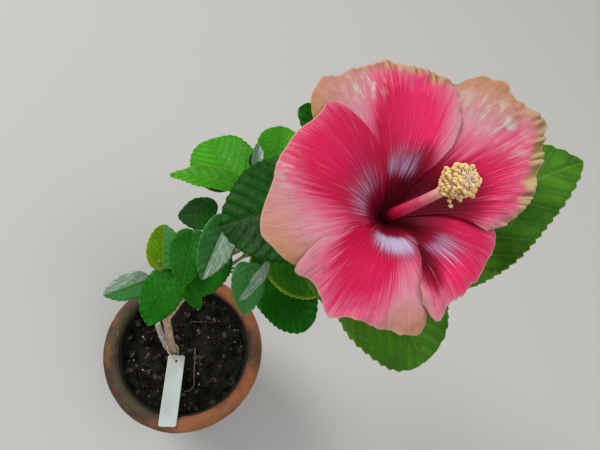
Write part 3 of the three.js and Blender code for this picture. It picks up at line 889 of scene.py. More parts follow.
PLAIN_FINISHES = (
    PlainFinish("black_plastic", (22, 24, 26), (40, 42, 40), roughness=0.45, grain_share=0.2, bump=0.15),
    # potting_mix: the soil's own dark colour, darkened further as painted shade for the shade inside the pot.
    PlainFinish(
        "potting_mix", (38, 37, 29), (9, 8, 6), roughness=0.95, gloss=0.1, patch_scale=60, patch_share=1.0,
        grain_scale=700, grain_share=1.2, bump_scale=500, bump=0.9, depth=0.0015,
    ),
    PlainFinish("soil_crumbs", (40, 38, 30), (12, 11, 9), roughness=0.95, gloss=0.1, bump=0.6),
    PlainFinish("bark_chips", (52, 42, 32), (18, 15, 12), roughness=0.9, gloss=0.1, bump=0.6),
    PlainFinish(
        "soil_clods", (88, 84, 73), (26, 24, 19), roughness=0.95, gloss=0.1, patch_scale=90, patch_share=0.9,
        grain_share=0.8, bump=0.7,
    ),
    PlainFinish("pale_grains", (214, 212, 200), (170, 166, 150), roughness=0.8, bump=0.4),
    PlainFinish("dead_straw", (120, 96, 76), (84, 56, 42), roughness=0.85),
    PlainFinish(
        "dead_wood", (236, 230, 216), (176, 168, 150), roughness=0.85, patch_scale=160, bump_scale=400,
        bump=0.6,
    ),
    # label_plastic: a white label's colour, greyed a little as painted shade.
    PlainFinish(
        "label_plastic", (198, 206, 202), (176, 184, 178), roughness=0.35, patch_share=0.4,
        grain_share=0.05, bump=0.05,
    ),
    PlainFinish(
        "string", (222, 204, 150), (176, 154, 100), roughness=0.85, patch_scale=300, bump=0.6, sheen=0.2
    ),
    PlainFinish("sepal_green", (116, 152, 62), (84, 122, 44), roughness=0.5, patch_scale=90),
    PlainFinish(
        "pollen", (252, 228, 166), (242, 198, 108), patch_scale=400, grain_scale=2500, bump_scale=2200,
        bump=0.6,
    ),
    PlainFinish("stigma", (240, 214, 150), (232, 180, 160), patch_scale=500, bump=0.6, sheen=0.4),
)


@dataclass(frozen=True)
class ClayFinish:
    """Old bare clay with algae, dark stains and pale salts."""

    clay: Colour = (150, 92, 56)
    warm: Colour = (176, 106, 62)
    stain: Colour = (48, 36, 26)
    algae: Colour = (74, 78, 42)
    salt: Colour = (182, 156, 128)
    dry_rough: float = 0.88
    stain_rough: float = 0.68
    bump: tuple[float, float] = (0.55, 0.0008)

    def material(self, mottle: Tree) -> Material:
        """Builds the material.

        Args:
            mottle: The group that varies a colour.

        Returns:
            The material.
        """
        material, nodes = start_material("old_clay")
        where, damp = nodes.place(), nodes.read("damp")
        varied = nodes.group(
            mottle, Colour=self.clay, Patch_colour=self.warm, Patch_scale=26.0, Patch_share=0.8,
            Grain_scale=1800.0, Grain_share=0.35,
        )
        stain = nodes.rise(nodes.plus(damp, 0.35, nodes.noise(where, 14.0, 5.0, 0.62)), 0.46, 0.68)
        moss = nodes.rise(nodes.plus(damp, 0.3, nodes.noise(where, 31.0, 5.0, 0.66)), 0.6, 0.8)
        crust = nodes.rise(nodes.noise(where, 48.0, 6.0, 0.7), 0.6, 0.74)
        pores = nodes.fall(nodes.cells(where, 420.0, "F1"), 0.05, 0.3, 0.35)
        colour = nodes.paint(
            varied.outputs["Colour"],
            (nodes.times(stain, 0.9), self.stain), (nodes.times(moss, 0.6), self.algae),
            (nodes.times(crust, 0.4), self.salt), (pores, self.stain),
        )
        rough = nodes.rise(stain, 0.0, 1.0, self.dry_rough, self.stain_rough)
        relief = nodes.plus(nodes.noise(where, 260.0, 6.0), 1.0, nodes.times(pores, -1.2))
        nodes.finish(colour, rough, relief, self.bump)
        return material


@dataclass(frozen=True)
class BarkFinish:
    """Thin bark that is green and smooth on young wood."""

    wood: Colour = (212, 172, 146)
    furrow: Colour = (140, 102, 82)
    pale: Colour = (226, 204, 180)
    young: Colour = (104, 136, 56)
    stretch: Point = (1.0, 1.0, 0.22)
    roughness: float = 0.78
    bump: tuple[float, float] = (0.6, 0.0005)

    def material(self, mottle: Tree) -> Material:
        """Builds the material.

        Args:
            mottle: The group that varies a colour.

        Returns:
            The material.
        """
        material, nodes = start_material("bark")
        where = nodes.place()
        mapping = nodes.add("ShaderNodeMapping", {"Vector": where, "Scale": self.stretch})
        grain = nodes.noise(mapping.outputs[0], 520.0, 5.0, 0.65)
        varied = nodes.group(
            mottle, Colour=self.wood, Patch_colour=self.pale, Patch_scale=90.0, Patch_share=0.7,
            Grain_scale=1600.0, Grain_share=0.3,
        )
        dots = nodes.fall(nodes.cells(where, 260.0, "F1"), 0.1, 0.24, 0.7)
        colour = nodes.paint(
            varied.outputs["Colour"], (nodes.fall(grain, 0.36, 0.56, 0.75), self.furrow), (dots, self.pale),
            (nodes.read("young"), self.young),
        )
        nodes.finish(colour, self.roughness, nodes.plus(dots, 0.6, grain), self.bump)
        return material


@dataclass(frozen=True)
class ColumnFinish:
    """The bloom's column, dark at its foot as painted shade where it leaves the throat, then crimson to pale
    pink.
    """

    stops: tuple[tuple[float, Colour], ...] = (
        # The first stop is painted shade: the foot darkens to maroon where it sinks into the throat.
        (0.14, (70, 4, 18)), (0.32, (222, 26, 82)), (0.62, (232, 92, 128)), (0.9, (255, 226, 206)),
    )
    roughness: float = 0.42
    bump: tuple[float, float] = (0.25, 0.0003)

    def material(self) -> Material:
        """Builds the material.

        Returns:
            The material.
        """
        material, nodes = start_material("column")
        soft = nodes.math("SUBTRACT", nodes.noise(nodes.place(), 160.0), 0.5)
        colour = nodes.ramp(nodes.plus(soft, 0.2, nodes.read("along")), self.stops)
        nodes.finish(colour, self.roughness, nodes.noise(nodes.place(), 900.0), self.bump)
        return material


# The plant's own rule

@dataclass(frozen=True)
class Leaf:
    """One leaf: how its stalk leaves the stem and how its blade lies, as in the part's own rule."""

    at: float
    out: float
    round: float
    turn: float
    rise: float
    long: float
    lift: float = 28
    wide: float = 0.78
    roll: float = 0
    fold: float = 8
    droop: float = 30
    heart: float = 0.12
    blunt: float = 0.8
    swerve: float = 0
    tint: Tint = Tint.MID
    right: Tint | None = None
    pucker: float = 1.0
    quilt: float = 0.0
    skew: float = 0.0
    wave: float = 1.0
    veins: int = 7

    FULL = 0.5
    THICK = 0.55
    STALK = (1.3, 0.9)
    TOOTH = 0.017
    TOOTH_STEP = 5.2
    TOOTHED = 92
    COLUMN_STEP = 6.5
    BLISTER = 6.5
    LEAN = 0.9

    def half(self, share: Array) -> Array:
        """Works out half the blade's width, with no teeth.

        Args:
            share: Where along its length, from 0 to 1.

        Returns:
            The half width at each place.
        """
        a, b = self.FULL, self.blunt
        most = (a / (a + b)) ** a * (b / (a + b)) ** b
        return 0.5 * self.wide * self.long * np.maximum(share**a * (1 - share) ** b / most, 0.012)

    def base(self, stem: Path) -> tuple[Array, Array, Array]:
        """Where the stalk starts, which way it goes and where the blade begins.

        Args:
            stem: The stem's path.

        Returns:
            The root, the direction and the blade's base.
        """
        root = along_path(stem, np.array(self.at))
        way = heading(self.round, self.lift)
        return root, way, root + way * self.out

    def blade(self, stem: Path, seed: float) -> Patch:
        """The blade as a thin shell with a toothed edge, sunken veins and swellings between them.

        Args:
            stem: The stem's path.
            seed: Moves the fine relief.

        Returns:
            The patch.
        """
        teeth = int(np.clip(round(self.long / self.TOOTH_STEP), 7, 22))
        rows = teeth * 6 + 1
        columns = 2 * int(np.clip(round(self.long * self.wide / self.COLUMN_STEP), 6, 13)) + 1
        s = np.linspace(0, 1, rows)

        def ahead(share: Array) -> Array:
            """The midrib's level way."""
            turn = np.radians(self.turn + self.swerve * (share - 0.5))
            return np.stack([np.cos(turn), np.sin(turn), 0 * turn], -1)

        def direction(share: Array) -> Array:
            """The way of the midrib."""
            pitch = np.radians(self.rise - self.droop * share)[:, None]
            return ahead(share) * np.cos(pitch) + UPRIGHT * np.sin(pitch)

        step = direction(s[:-1] + 0.5 / (rows - 1)) * self.long / (rows - 1)
        centre = self.base(stem)[2] + np.concatenate([np.zeros((1, 3)), np.cumsum(step, 0)])
        along = direction(s)
        roll = math.radians(self.roll)
        sideways = np.cross(UPRIGHT, ahead(s))
        side = sideways * math.cos(roll) + np.cross(along, sideways) * math.sin(roll)
        up = np.cross(along, side)

        x = np.linspace(-1, 1, columns)
        x = np.sign(x) * np.abs(x) ** 0.9
        size = np.abs(x)[None, :]
        half = self.half(s)[:, None]
        saw = (s * teeth) % 1.0
        tooth = np.where(saw < 0.72, saw / 0.72, (1 - saw) / 0.28) ** 0.9 - 0.45
        bite = tooth * self.TOOTH * min(self.long, self.TOOTHED)
        bite = (bite * smooth(0.06, 0.3, s) * (1 - smooth(0.95, 1.0, s)))[:, None]
        across = x * half * math.cos(math.radians(self.fold)) + np.sign(x) * bite * smooth(0.84, 1.0, size)
        across = across + self.skew * np.sin(np.pi * s)[:, None]
        back = -self.heart * 2 * half * size * ((1 - s) ** 2)[:, None] + bite * 0.5 * smooth(0.84, 1.0, size)

        lateral = size * half
        reach = s[:, None] - self.LEAN * lateral / self.long * (1 + 0.25 * size)
        stagger = np.where(x > 0, 0.32, 0.0)[None, :] * smooth(0.0, 0.12, size)
        phase = self.veins * np.clip(reach + 0.02, 0, 1) ** 0.92 + stagger
        gap = 0.78 * self.long / self.veins
        swell = (0.5 - 0.5 * np.cos(2 * np.pi * phase)) * smooth(0.0, 0.16, size)
        swell = swell * (1 - smooth(0.82, 1.0, size))
        cup = half * size**1.3 * math.sin(math.radians(self.fold))
        ripple = np.sin(2 * np.pi * (2.3 * s[:, None] + 0.21 * seed + 0.3 * np.sign(x))) * size**3
        lie = centre[:, None] + side[:, None] * across[..., None] + along[:, None] * back[..., None]
        fine = roughen(lie, 7.0, seed, 2)
        bubble = lateral / self.BLISTER + 0.35 * np.sin(7.0 * phase)
        blisters = (0.5 - 0.5 * np.cos(2 * np.pi * bubble)) * swell
        rise = (
            cup
            + self.pucker * 0.085 * gap * swell
            + self.quilt * 1.1 * blisters
            + self.wave * 0.016 * self.long * ripple * smooth(0.1, 0.4, s)[:, None]
            + self.pucker * 0.28 * fine
            - 0.5 * bell(across, 0, 1.3)
        )
        middle = lie + up[:, None] * rise[..., None]
        rib = 0.9 * bell(across, 0, 0.9) * (1 - 0.8 * s)[:, None] * min(1.0, self.long / 60)
        edge = np.minimum(half * (1 - size), (1 - s)[:, None] * self.long)
        thick = self.THICK * (0.35 + 0.65 * smooth(0.0, 2.0, edge))
        values = {"phase": phase, "rib": across, "gap": 0 * phase + gap, "swell": swell, "edge": edge}
        slots = np.where((x[:-1] + x[1:]) > 0, (self.right or self.tint).value, self.tint.value)
        top = middle + up[:, None] * (thick / 2)[..., None]
        bottom = middle - up[:, None] * (thick / 2 + rib)[..., None]
        return shell(top, bottom, values, np.tile(slots, (rows - 1, 1)))

    def stalk(self, stem: Path) -> Patch:
        """The leaf's stalk, from within the stem to under the blade.

        Args:
            stem: The stem's path.

        Returns:
            The patch.
        """
        root, way, base = self.base(stem)
        bend = root + way * self.out * 0.5 + UPRIGHT * self.out * 0.05
        into = heading(self.turn - 0.5 * self.swerve, self.rise)
        line = along_path((root, bend, base), np.linspace(0, 1, 12))
        tail = base + into * np.linspace(0.6, 4.0, 4)[:, None] - UPRIGHT * 0.5
        line = np.concatenate([line, tail])
        radii = np.concatenate([np.linspace(*self.STALK, 12), [0.85, 0.75, 0.6, 0.4]])
        radii[:2] += (0.7, 0.25)
        return tube(line, radii, 10).greened(0.9, 0.9)


@dataclass(frozen=True)
class Spiral:
    """Leaves dealt round a stem by a fixed turn, each a little off by the seed; only the grown ones stay."""

    count: int
    seed: int
    start: float
    out: tuple[float, float]
    long: tuple[float, float]
    rise: tuple[float, float]
    grown: tuple[int, ...]

    NUDGE = (-14, 14)
    LIFT = (10, 40)
    TWIST = (-28, 28)
    WIDE = (0.7, 0.95)
    ROLL = (-16, 16)
    DROOP = (22, 44)
    TINTS = (Tint.RICH, Tint.DEEP, Tint.MID, Tint.RICH, Tint.DEEP)

    def leaves(self) -> list[Leaf]:
        """Draws every leaf in the part's own order and keeps the grown ones.

        Returns:
            The leaves.
        """
        dice = Dice(self.seed)
        kept = []
        for k in range(self.count):
            around = self.start + TURN_STEP * k + dice.between(self.NUDGE)
            out = dice.between(self.out)
            lift = dice.between(self.LIFT)
            turn = around + dice.between(self.TWIST)
            rise = dice.between(self.rise)
            long = dice.between(self.long) * (1.05 - 0.25 * k / self.count)
            wide = dice.between(self.WIDE)
            roll = dice.between(self.ROLL)
            droop = dice.between(self.DROOP)
            if k in self.grown:
                at, tint = (k + 0.5) / self.count, self.TINTS[k % 5]
                kept.append(Leaf(at, out, around, turn, rise, long, lift, wide, roll, droop=droop, tint=tint))
        return kept


@dataclass(frozen=True)
class Mass:
    """One mass of foliage: its stem, the listed leaves and the spiral's."""

    name: str
    stem: Path
    radii: tuple[float, float]
    leaves: tuple[Leaf, ...]
    spiral: Spiral

    def all_leaves(self) -> list[Leaf]:
        """Every leaf of the mass."""
        return [*self.leaves, *self.spiral.leaves()]


MASSES = (
    Mass(
        "foliage_left",
        ((-29, 36, 335), (-32, 43, 358), (-33, 47, 380)),
        (2.4, 1.5),
        (
            Leaf(
                0.60, 6, 0, 98, 22, 48, lift=42, wide=0.76, fold=20, heart=0.15, tint=Tint.BLUE,
                right=Tint.LIME,
            ),
            Leaf(
                0.05, 16, 172, -157, -2, 48, wide=0.62, roll=-30, fold=18, droop=20, tint=Tint.SILVER,
                right=Tint.BLUE,
            ),
            Leaf(0.40, 17, 12, -114, -6, 64, lift=29, wide=0.66, fold=10, droop=40, tint=Tint.RICH),
            Leaf(0.10, 25, -1, -52, -12, 35, lift=29, wide=0.55, fold=10, droop=25, tint=Tint.RICH),
        ),
        Spiral(18, 49, 200, (10, 26), (34, 52), (-20, 12), (4, 7)),
    ),
    Mass(
        "foliage_back",
        ((13, 68, 357), (27, 90, 402), (42, 112, 448)),
        (2.3, 1.5),
        (
            Leaf(0.25, 18, -88, -104, -11, 54.5, lift=35, wide=0.85, roll=10, heart=0.15, tint=Tint.RICH),
            Leaf(0.25, 26, -179, -95, 1, 59, wide=0.64, droop=25, tint=Tint.RICH),
            Leaf(0.05, 39, 84, -176, 6, 41, lift=16, wide=0.98, heart=0.2, tint=Tint.DEEP),
            Leaf(
                0.60, 15, -97, -108, -4, 65, lift=36, wide=0.58, roll=-20, fold=14, droop=25, tint=Tint.BLUE,
                right=Tint.SILVER,
            ),
            Leaf(
                0.55, 32.6, 77.7, 123, 6, 66, lift=24.4, wide=1.02, roll=-8, fold=6, heart=0.2, blunt=0.6,
                tint=Tint.FRESH,
            ),
            Leaf(
                0.75, 14.2, 60, 170, 6, 75, lift=40, wide=0.38, roll=6, fold=14, droop=36, heart=0.05,
                tint=Tint.FRESH, pucker=0.6,
            ),
            Leaf(
                0.90, 42, 39, 83, 19, 42, lift=19, wide=1.12, fold=10, heart=0.2, tint=Tint.FRESH,
                pucker=0.6,
            ),
            Leaf(
                1.00, 19, -54, 84, 10, 34, lift=74, wide=0.5, roll=35, fold=30, droop=20, heart=0,
                tint=Tint.SILVER,
            ),
        ),
        Spiral(24, 5, 60, (12, 30), (38, 66), (-20, 12), (0, 5, 13, 20, 21, 23)),
    ),
    Mass(
        "foliage_low",
        ((30, 46, 360), (44, 52, 388), (60, 54, 420)),
        (2.2, 1.4),
        (
            Leaf(0.85, 18, -100, -91, -2, 49, lift=27, wide=0.66, fold=6, heart=0.2, tint=Tint.BLUE),
            Leaf(
                1.00, 29, -74, -122, -9, 45, lift=44, wide=0.42, roll=-60, fold=20, droop=20, heart=0,
                tint=Tint.SILVER,
            ),
            Leaf(0.05, 44.4, -10, -42, 5, 74, lift=30, wide=0.84, blunt=0.55, tint=Tint.RICH),
            Leaf(0.65, 30, -5, -36, 2, 62, lift=30, wide=0.80, tint=Tint.EDGED),
        ),
        Spiral(20, 41, 90, (12, 28), (36, 60), (-20, 8), (2, 13, 15, 18)),
    ),
    Mass(
        "foliage_top",
        ((84, 64, 432), (116, 60, 470), (140, 50, 508)),
        (2.5, 1.9),
        (
            Leaf(
                0.50, 21, 113, -167, 1, 97, lift=34, wide=1.02, roll=-4, fold=6, droop=35, heart=0.15,
                blunt=0.72, tint=Tint.DARK, pucker=0.9, quilt=0.7,
            ),
            Leaf(
                0.90, 58.9, -47, 31.6, 47.8, 136.7, lift=20.5, wide=0.70, roll=8, fold=6, droop=25, heart=0.2,
                blunt=0.82, swerve=-34, tint=Tint.MID, pucker=0.6, quilt=0.3, skew=5.0,
            ),
            Leaf(
                0.75, 45, -91, -61, 15, 90, lift=27, wide=1.22, roll=-14, fold=6, blunt=0.56, tint=Tint.MID,
                pucker=1.3,
            ),
            Leaf(
                0.84, 52, 139.4, 151.7, 46.3, 63.7, lift=51, wide=0.62, fold=10, droop=20, blunt=0.55,
                tint=Tint.RICH,
            ),
        ),
        Spiral(14, 7, 20, (20, 40), (60, 92), (-6, 20), (0, 2, 3, 8, 9, 10, 11, 13)),
    ),
)


@dataclass
class Foliage:
    """The leaves and twigs that stand for the masses."""

    masses: tuple[Mass, ...] = MASSES
    sides: int = 18
    relief: float = 0.12
    node_swell: float = 0.5
    node_width: float = 0.02

    def twig(self, mass: Mass, seed: float) -> Patch:
        """A mass's stem, with a swelling where each leaf leaves it.

        Args:
            mass: The mass.
            seed: Moves the fine relief.

        Returns:
            The patch.
        """
        share = np.linspace(0, 1, 60)
        line = along_path(mass.stem, share)
        radii = np.interp(share, (0, 1), mass.radii)
        for leaf in mass.all_leaves():
            radii = radii + self.node_swell * bell(share, min(leaf.at, 0.98), self.node_width)
        patch = tube(line, radii, self.sides)
        patch.swell(line, self.relief * roughen(patch.points, 3.0, seed))
        return patch.greened(0.35, 0.9)

    def build(self, leaf_materials: list[Material], bark: Material) -> None:
        """Makes the leaves of each mass and all the twigs.

        Args:
            leaf_materials: The leaves' materials in the order of their tints.
            bark: The twigs' material.
        """
        twigs = []
        for number, mass in enumerate(self.masses):
            leaves = mass.all_leaves()
            blades = [leaf.blade(mass.stem, 11.3 * number + 1.7 * k) for k, leaf in enumerate(leaves)]
            make_piece(mass.name + "_leaves", join(blades), leaf_materials, (mass.name,))
            twigs += [leaf.stalk(mass.stem) for leaf in leaves]
            twigs.append(self.twig(mass, 3.1 * number))
        make_piece("twigs", join(twigs), [bark])


# The limbs

@dataclass
class Limbs:
    """The trunk, the dead stub and the boughs, with the bark's relief."""

    trunk: Path = ((-17, 0, 155), (-21, 5, 220), (-24, 12, 285))
    foot_radius: float = 7.4
    trunk_radii: tuple[float, float] = (4.9, 4.2)
    flare: float = 16
    cut: float = 155.3
    stub: Path = ((-25, 3.2, 153), (-34, 16, 176), (-40, 28, 196))
    stub_radii: tuple[float, float] = (4.2, 3.4)
    boughs: dict[str, tuple[Path, float, float]] = field(
        default_factory=lambda: {
            "bough_middle": (((-24, 12, 285), (-10, 28, 310), (6, 44, 335)), 3.9, 3.3),
            "bough_left": (((-24, 12, 285), (-28, 25, 312), (-29, 36, 335)), 3.2, 2.5),
            "bough_flower": (((6, 44, 335), (40, 62, 385), (84, 64, 432)), 3.2, 2.6),
            "bough_back": (((6, 44, 335), (9, 56, 345), (13, 68, 357)), 2.8, 2.4),
            "bough_low": (((6, 44, 335), (18, 45, 346), (30, 46, 360)), 2.8, 2.3),
        }
    )
    sides: int = 36
    step: float = 0.9
    furrow: Point = (1.0, 1.0, 0.3)
    scar: float = 0.35

    def limb(self, line: Array, radii: Array, seed: float, relief: float,
             young: tuple[float, float]) -> Patch:
        """A limb with rings of old leaf scars and a furrowed surface.

        Args:
            line: The points of its middle.
            radii: Its radius at each point.
            seed: Moves the relief.
            relief: The relief's height.
            young: How green it is at its foot and its tip.

        Returns:
            The patch.
        """
        patch = tube(line, radii, self.sides)
        furrows = roughen(patch.points * np.array(self.furrow), 2.2, seed, 4)
        height = relief * (furrows + 0.6 * roughen(patch.points, 9.0, seed + 5))
        scars = np.abs(np.sin(patch.values["along"] * len(line) * 0.14 + seed)) ** 24
        patch.swell(line, height + self.scar * scars)
        return patch.greened(*young)

    def steps(self, path: Path) -> Array:
        """Points along a path, about one every millimetre."""
        length = np.linalg.norm(np.array(path[2], float) - np.array(path[0], float))
        return along_path(path, np.linspace(0, 1, int(length / self.step) + 2))

    def stand(self, name: str, limb: Patch, material: Material, node: str) -> None:
        """Cuts a limb flat at the soil and makes it a piece."""
        limb.points[:, 2] = np.maximum(limb.points[:, 2], self.cut)
        make_piece(name, limb, [material], (node,))

    def build(self, bark: Material, dead: Material) -> None:
        """Makes the limbs.

        Args:
            bark: The living bark.
            dead: The stub's grey wood.
        """
        line = self.steps(self.trunk)
        height = line[:, 2] - line[0, 2]
        taper = np.interp(height, (0, height[-1]), self.trunk_radii)
        flare = (self.foot_radius - self.trunk_radii[0]) * np.clip(1 - height / self.flare, 0, None) ** 2
        self.stand("trunk_bark", self.limb(line, taper + flare, 1.0, 0.35, (0.0, 0.1)), bark, "trunk")
        line = self.steps(self.stub)
        stub = self.limb(line, np.linspace(*self.stub_radii, len(line)), 7.0, 0.45, (0.0, 0.0))
        self.stand("stub_wood", stub, dead, "cut_stub")
        patches = []
        for seed, (path, first, last) in enumerate(self.boughs.values()):
            line = self.steps(path)
            radii = np.linspace(first, last, len(line))
            patches.append(self.limb(line, radii, 11.0 + seed, 0.2, (0.12, 0.4)))
        make_piece("bough_bark", join(patches), [bark], tuple(self.boughs))


# The pot and what is in it

@dataclass
class Pot:
    """The old clay pot, its thin plastic liner and the soil."""

    outside: tuple = (
        (0, 0), (60, 0), (63, 0), (66, 3), (89, 134), (99, 137), (104, 142), (105, 170), (103, 177),
        (97, 180),
    )
    inside: tuple = ((89.5, 180), (86, 176.5), (85.5, 170), (60, 14), (0, 14))
    sides: int = 192
    ring_step: float = 4.0
    clay_relief: float = 0.7
    soil_top: float = 155
    soil_floor: float = 15.8
    soil_rings: int = 70
    soil_gap: float = 0.4
    soil_lump: float = 5.2
    soil_calm: float = 18
    soil_centre: tuple[float, float] = (-20, 0)
    liner_wall: float = 1.2
    liner_fit: float = 0.6
    liner_foot: float = 14.3
    liner_top: float = 171
    liner_rings: int = 30

    def wall(self, z: float) -> float:
        """The radius of the clay's inner wall at a height."""
        (rim, high), (foot, low) = self.inside[2:4]
        return float(np.interp(z, (low, high), (foot, rim)))

    def turned(self, profile: Array, seed: float, relief: float) -> Patch:
        """Turns a profile round the pot's axis.

        Args:
            profile: Radius and height of each ring.
            seed: Moves the relief.
            relief: How far the surface is out of true.

        Returns:
            The patch.
        """
        turn = circle(self.sides)
        radius = np.maximum(profile[:, 0], 0.05)[:, None]
        x, y = radius * np.cos(turn), radius * np.sin(turn)
        z = profile[:, 1][:, None] + 0 * x
        points = np.stack([x, y, z], -1)
        out = roughen(points, 38.0, seed, 3) * relief
        out *= smooth(2.0, 8.0, z) * smooth(5.0, 30.0, radius)
        points[..., 0] += out * np.cos(turn)
        points[..., 1] += out * np.sin(turn)
        shade, low, inner = smooth(40, -60, x) * 0.45, smooth(60, 0, z) * 0.6, smooth(95, 86, radius)
        damp = shade + low + inner * (0.1 + 0.5 * smooth(30, -50, x))
        faces = grid_faces(len(profile), self.sides, ring=True)[:, ::-1]
        return Patch(points.reshape(-1, 3), faces, {"damp": damp.ravel()})

    def rounded(self, corners: tuple, rounds: int = 3) -> Array:
        """Cuts the corners of a profile round and adds rings between them.

        Args:
            corners: Radius and height of each corner.
            rounds: How often the corners are cut.

        Returns:
            The profile.
        """
        line = np.array(corners, float)
        for _ in range(rounds):
            ahead = line[:-1] * 0.8 + line[1:] * 0.2
            behind = line[:-1] * 0.2 + line[1:] * 0.8
            middle = np.stack([ahead, behind], 1).reshape(-1, 2)
            line = np.concatenate([line[:1], middle, line[-1:]])
        steps = distances(line)
        wanted = np.unique(np.concatenate([steps, np.arange(0, steps[-1], self.ring_step)]))
        return np.stack([np.interp(wanted, steps, line[:, k]) for k in (0, 1)], 1)

    def soil(self) -> Patch:
        """Builds the soil's crumbly top with its wall and floor.

        Returns:
            The patch.
        """
        inset = self.liner_fit + self.liner_wall + self.soil_gap
        turn = circle(self.sides)
        radius = (self.wall(self.soil_top - 3) - inset) * np.linspace(0, 1, self.soil_rings)[:, None]
        x, y = radius * np.cos(turn), radius * np.sin(turn)
        away = np.hypot(x - self.soil_centre[0], y - self.soil_centre[1])
        loose = 0.25 + 0.75 * smooth(self.soil_calm - 8, self.soil_calm + 16, away)
        flat = np.stack([x, y, 0 * x], -1)
        lumps = 0.5 * roughen(flat, 26, 2.0, 3) + 0.9 * roughen(flat, 11, 4.0, 4)
        z = np.minimum(self.soil_top - 1.2 + self.soil_lump * 0.55 * lumps * loose, self.soil_top + 1.5)
        foot = self.wall(self.soil_floor + 1.2) - inset
        low = np.stack([foot * np.cos(turn), foot * np.sin(turn), 0 * turn + self.soil_floor], -1)
        points = np.concatenate([np.stack([x, y, z], -1), low[None], low[None] * [0.001, 0.001, 1.0]])
        return Patch(points.reshape(-1, 3), grid_faces(len(points), self.sides, ring=True))

    def liner(self) -> Array:
        """Works out the liner's profile, up its outside and down its inside.

        Returns:
            Radius and height of each ring.
        """
        fit, wall, foot, top = self.liner_fit, self.liner_wall, self.liner_foot, self.liner_top
        skin = [(0.0, foot), (self.wall(foot) - fit, foot)]
        skin += [(self.wall(z) - fit, z) for z in np.linspace(foot + 4, top, self.liner_rings)]
        skin += [(self.wall(top) - fit - 1.0, top + 0.4)]
        skin += [(self.wall(z) - fit - wall, z) for z in np.linspace(top - 1.6, foot + 4, self.liner_rings)]
        skin += [(self.wall(foot) - fit - wall, foot + wall), (0.0, foot + wall)]
        return np.array(skin)

    def build(self, clay: Material, plastic: Material, soil: Material) -> Object:
        """Makes the pot, the liner and the soil.

        Args:
            clay: The pot's material.
            plastic: The liner's material.
            soil: The soil's material.

        Returns:
            The soil, for what lies on it.
        """
        profile = np.concatenate([self.rounded(self.outside), self.rounded(self.inside)])
        make_piece("clay_pot", self.turned(profile, 3.0, self.clay_relief), [clay], ("pot",))
        make_piece("plastic_liner", self.turned(self.liner(), 9.0, 0.0), [plastic], ("liner",))
        return make_piece("potting_mix", self.soil(), [soil], ("soil",))


@dataclass(frozen=True)
class Grain:
    """A kind of loose grain: its shape, its count on a square metre, its seed and its sizes in metres."""

    name: str
    squash: Point
    density: float
    seed: int
    least: float
    greatest: float


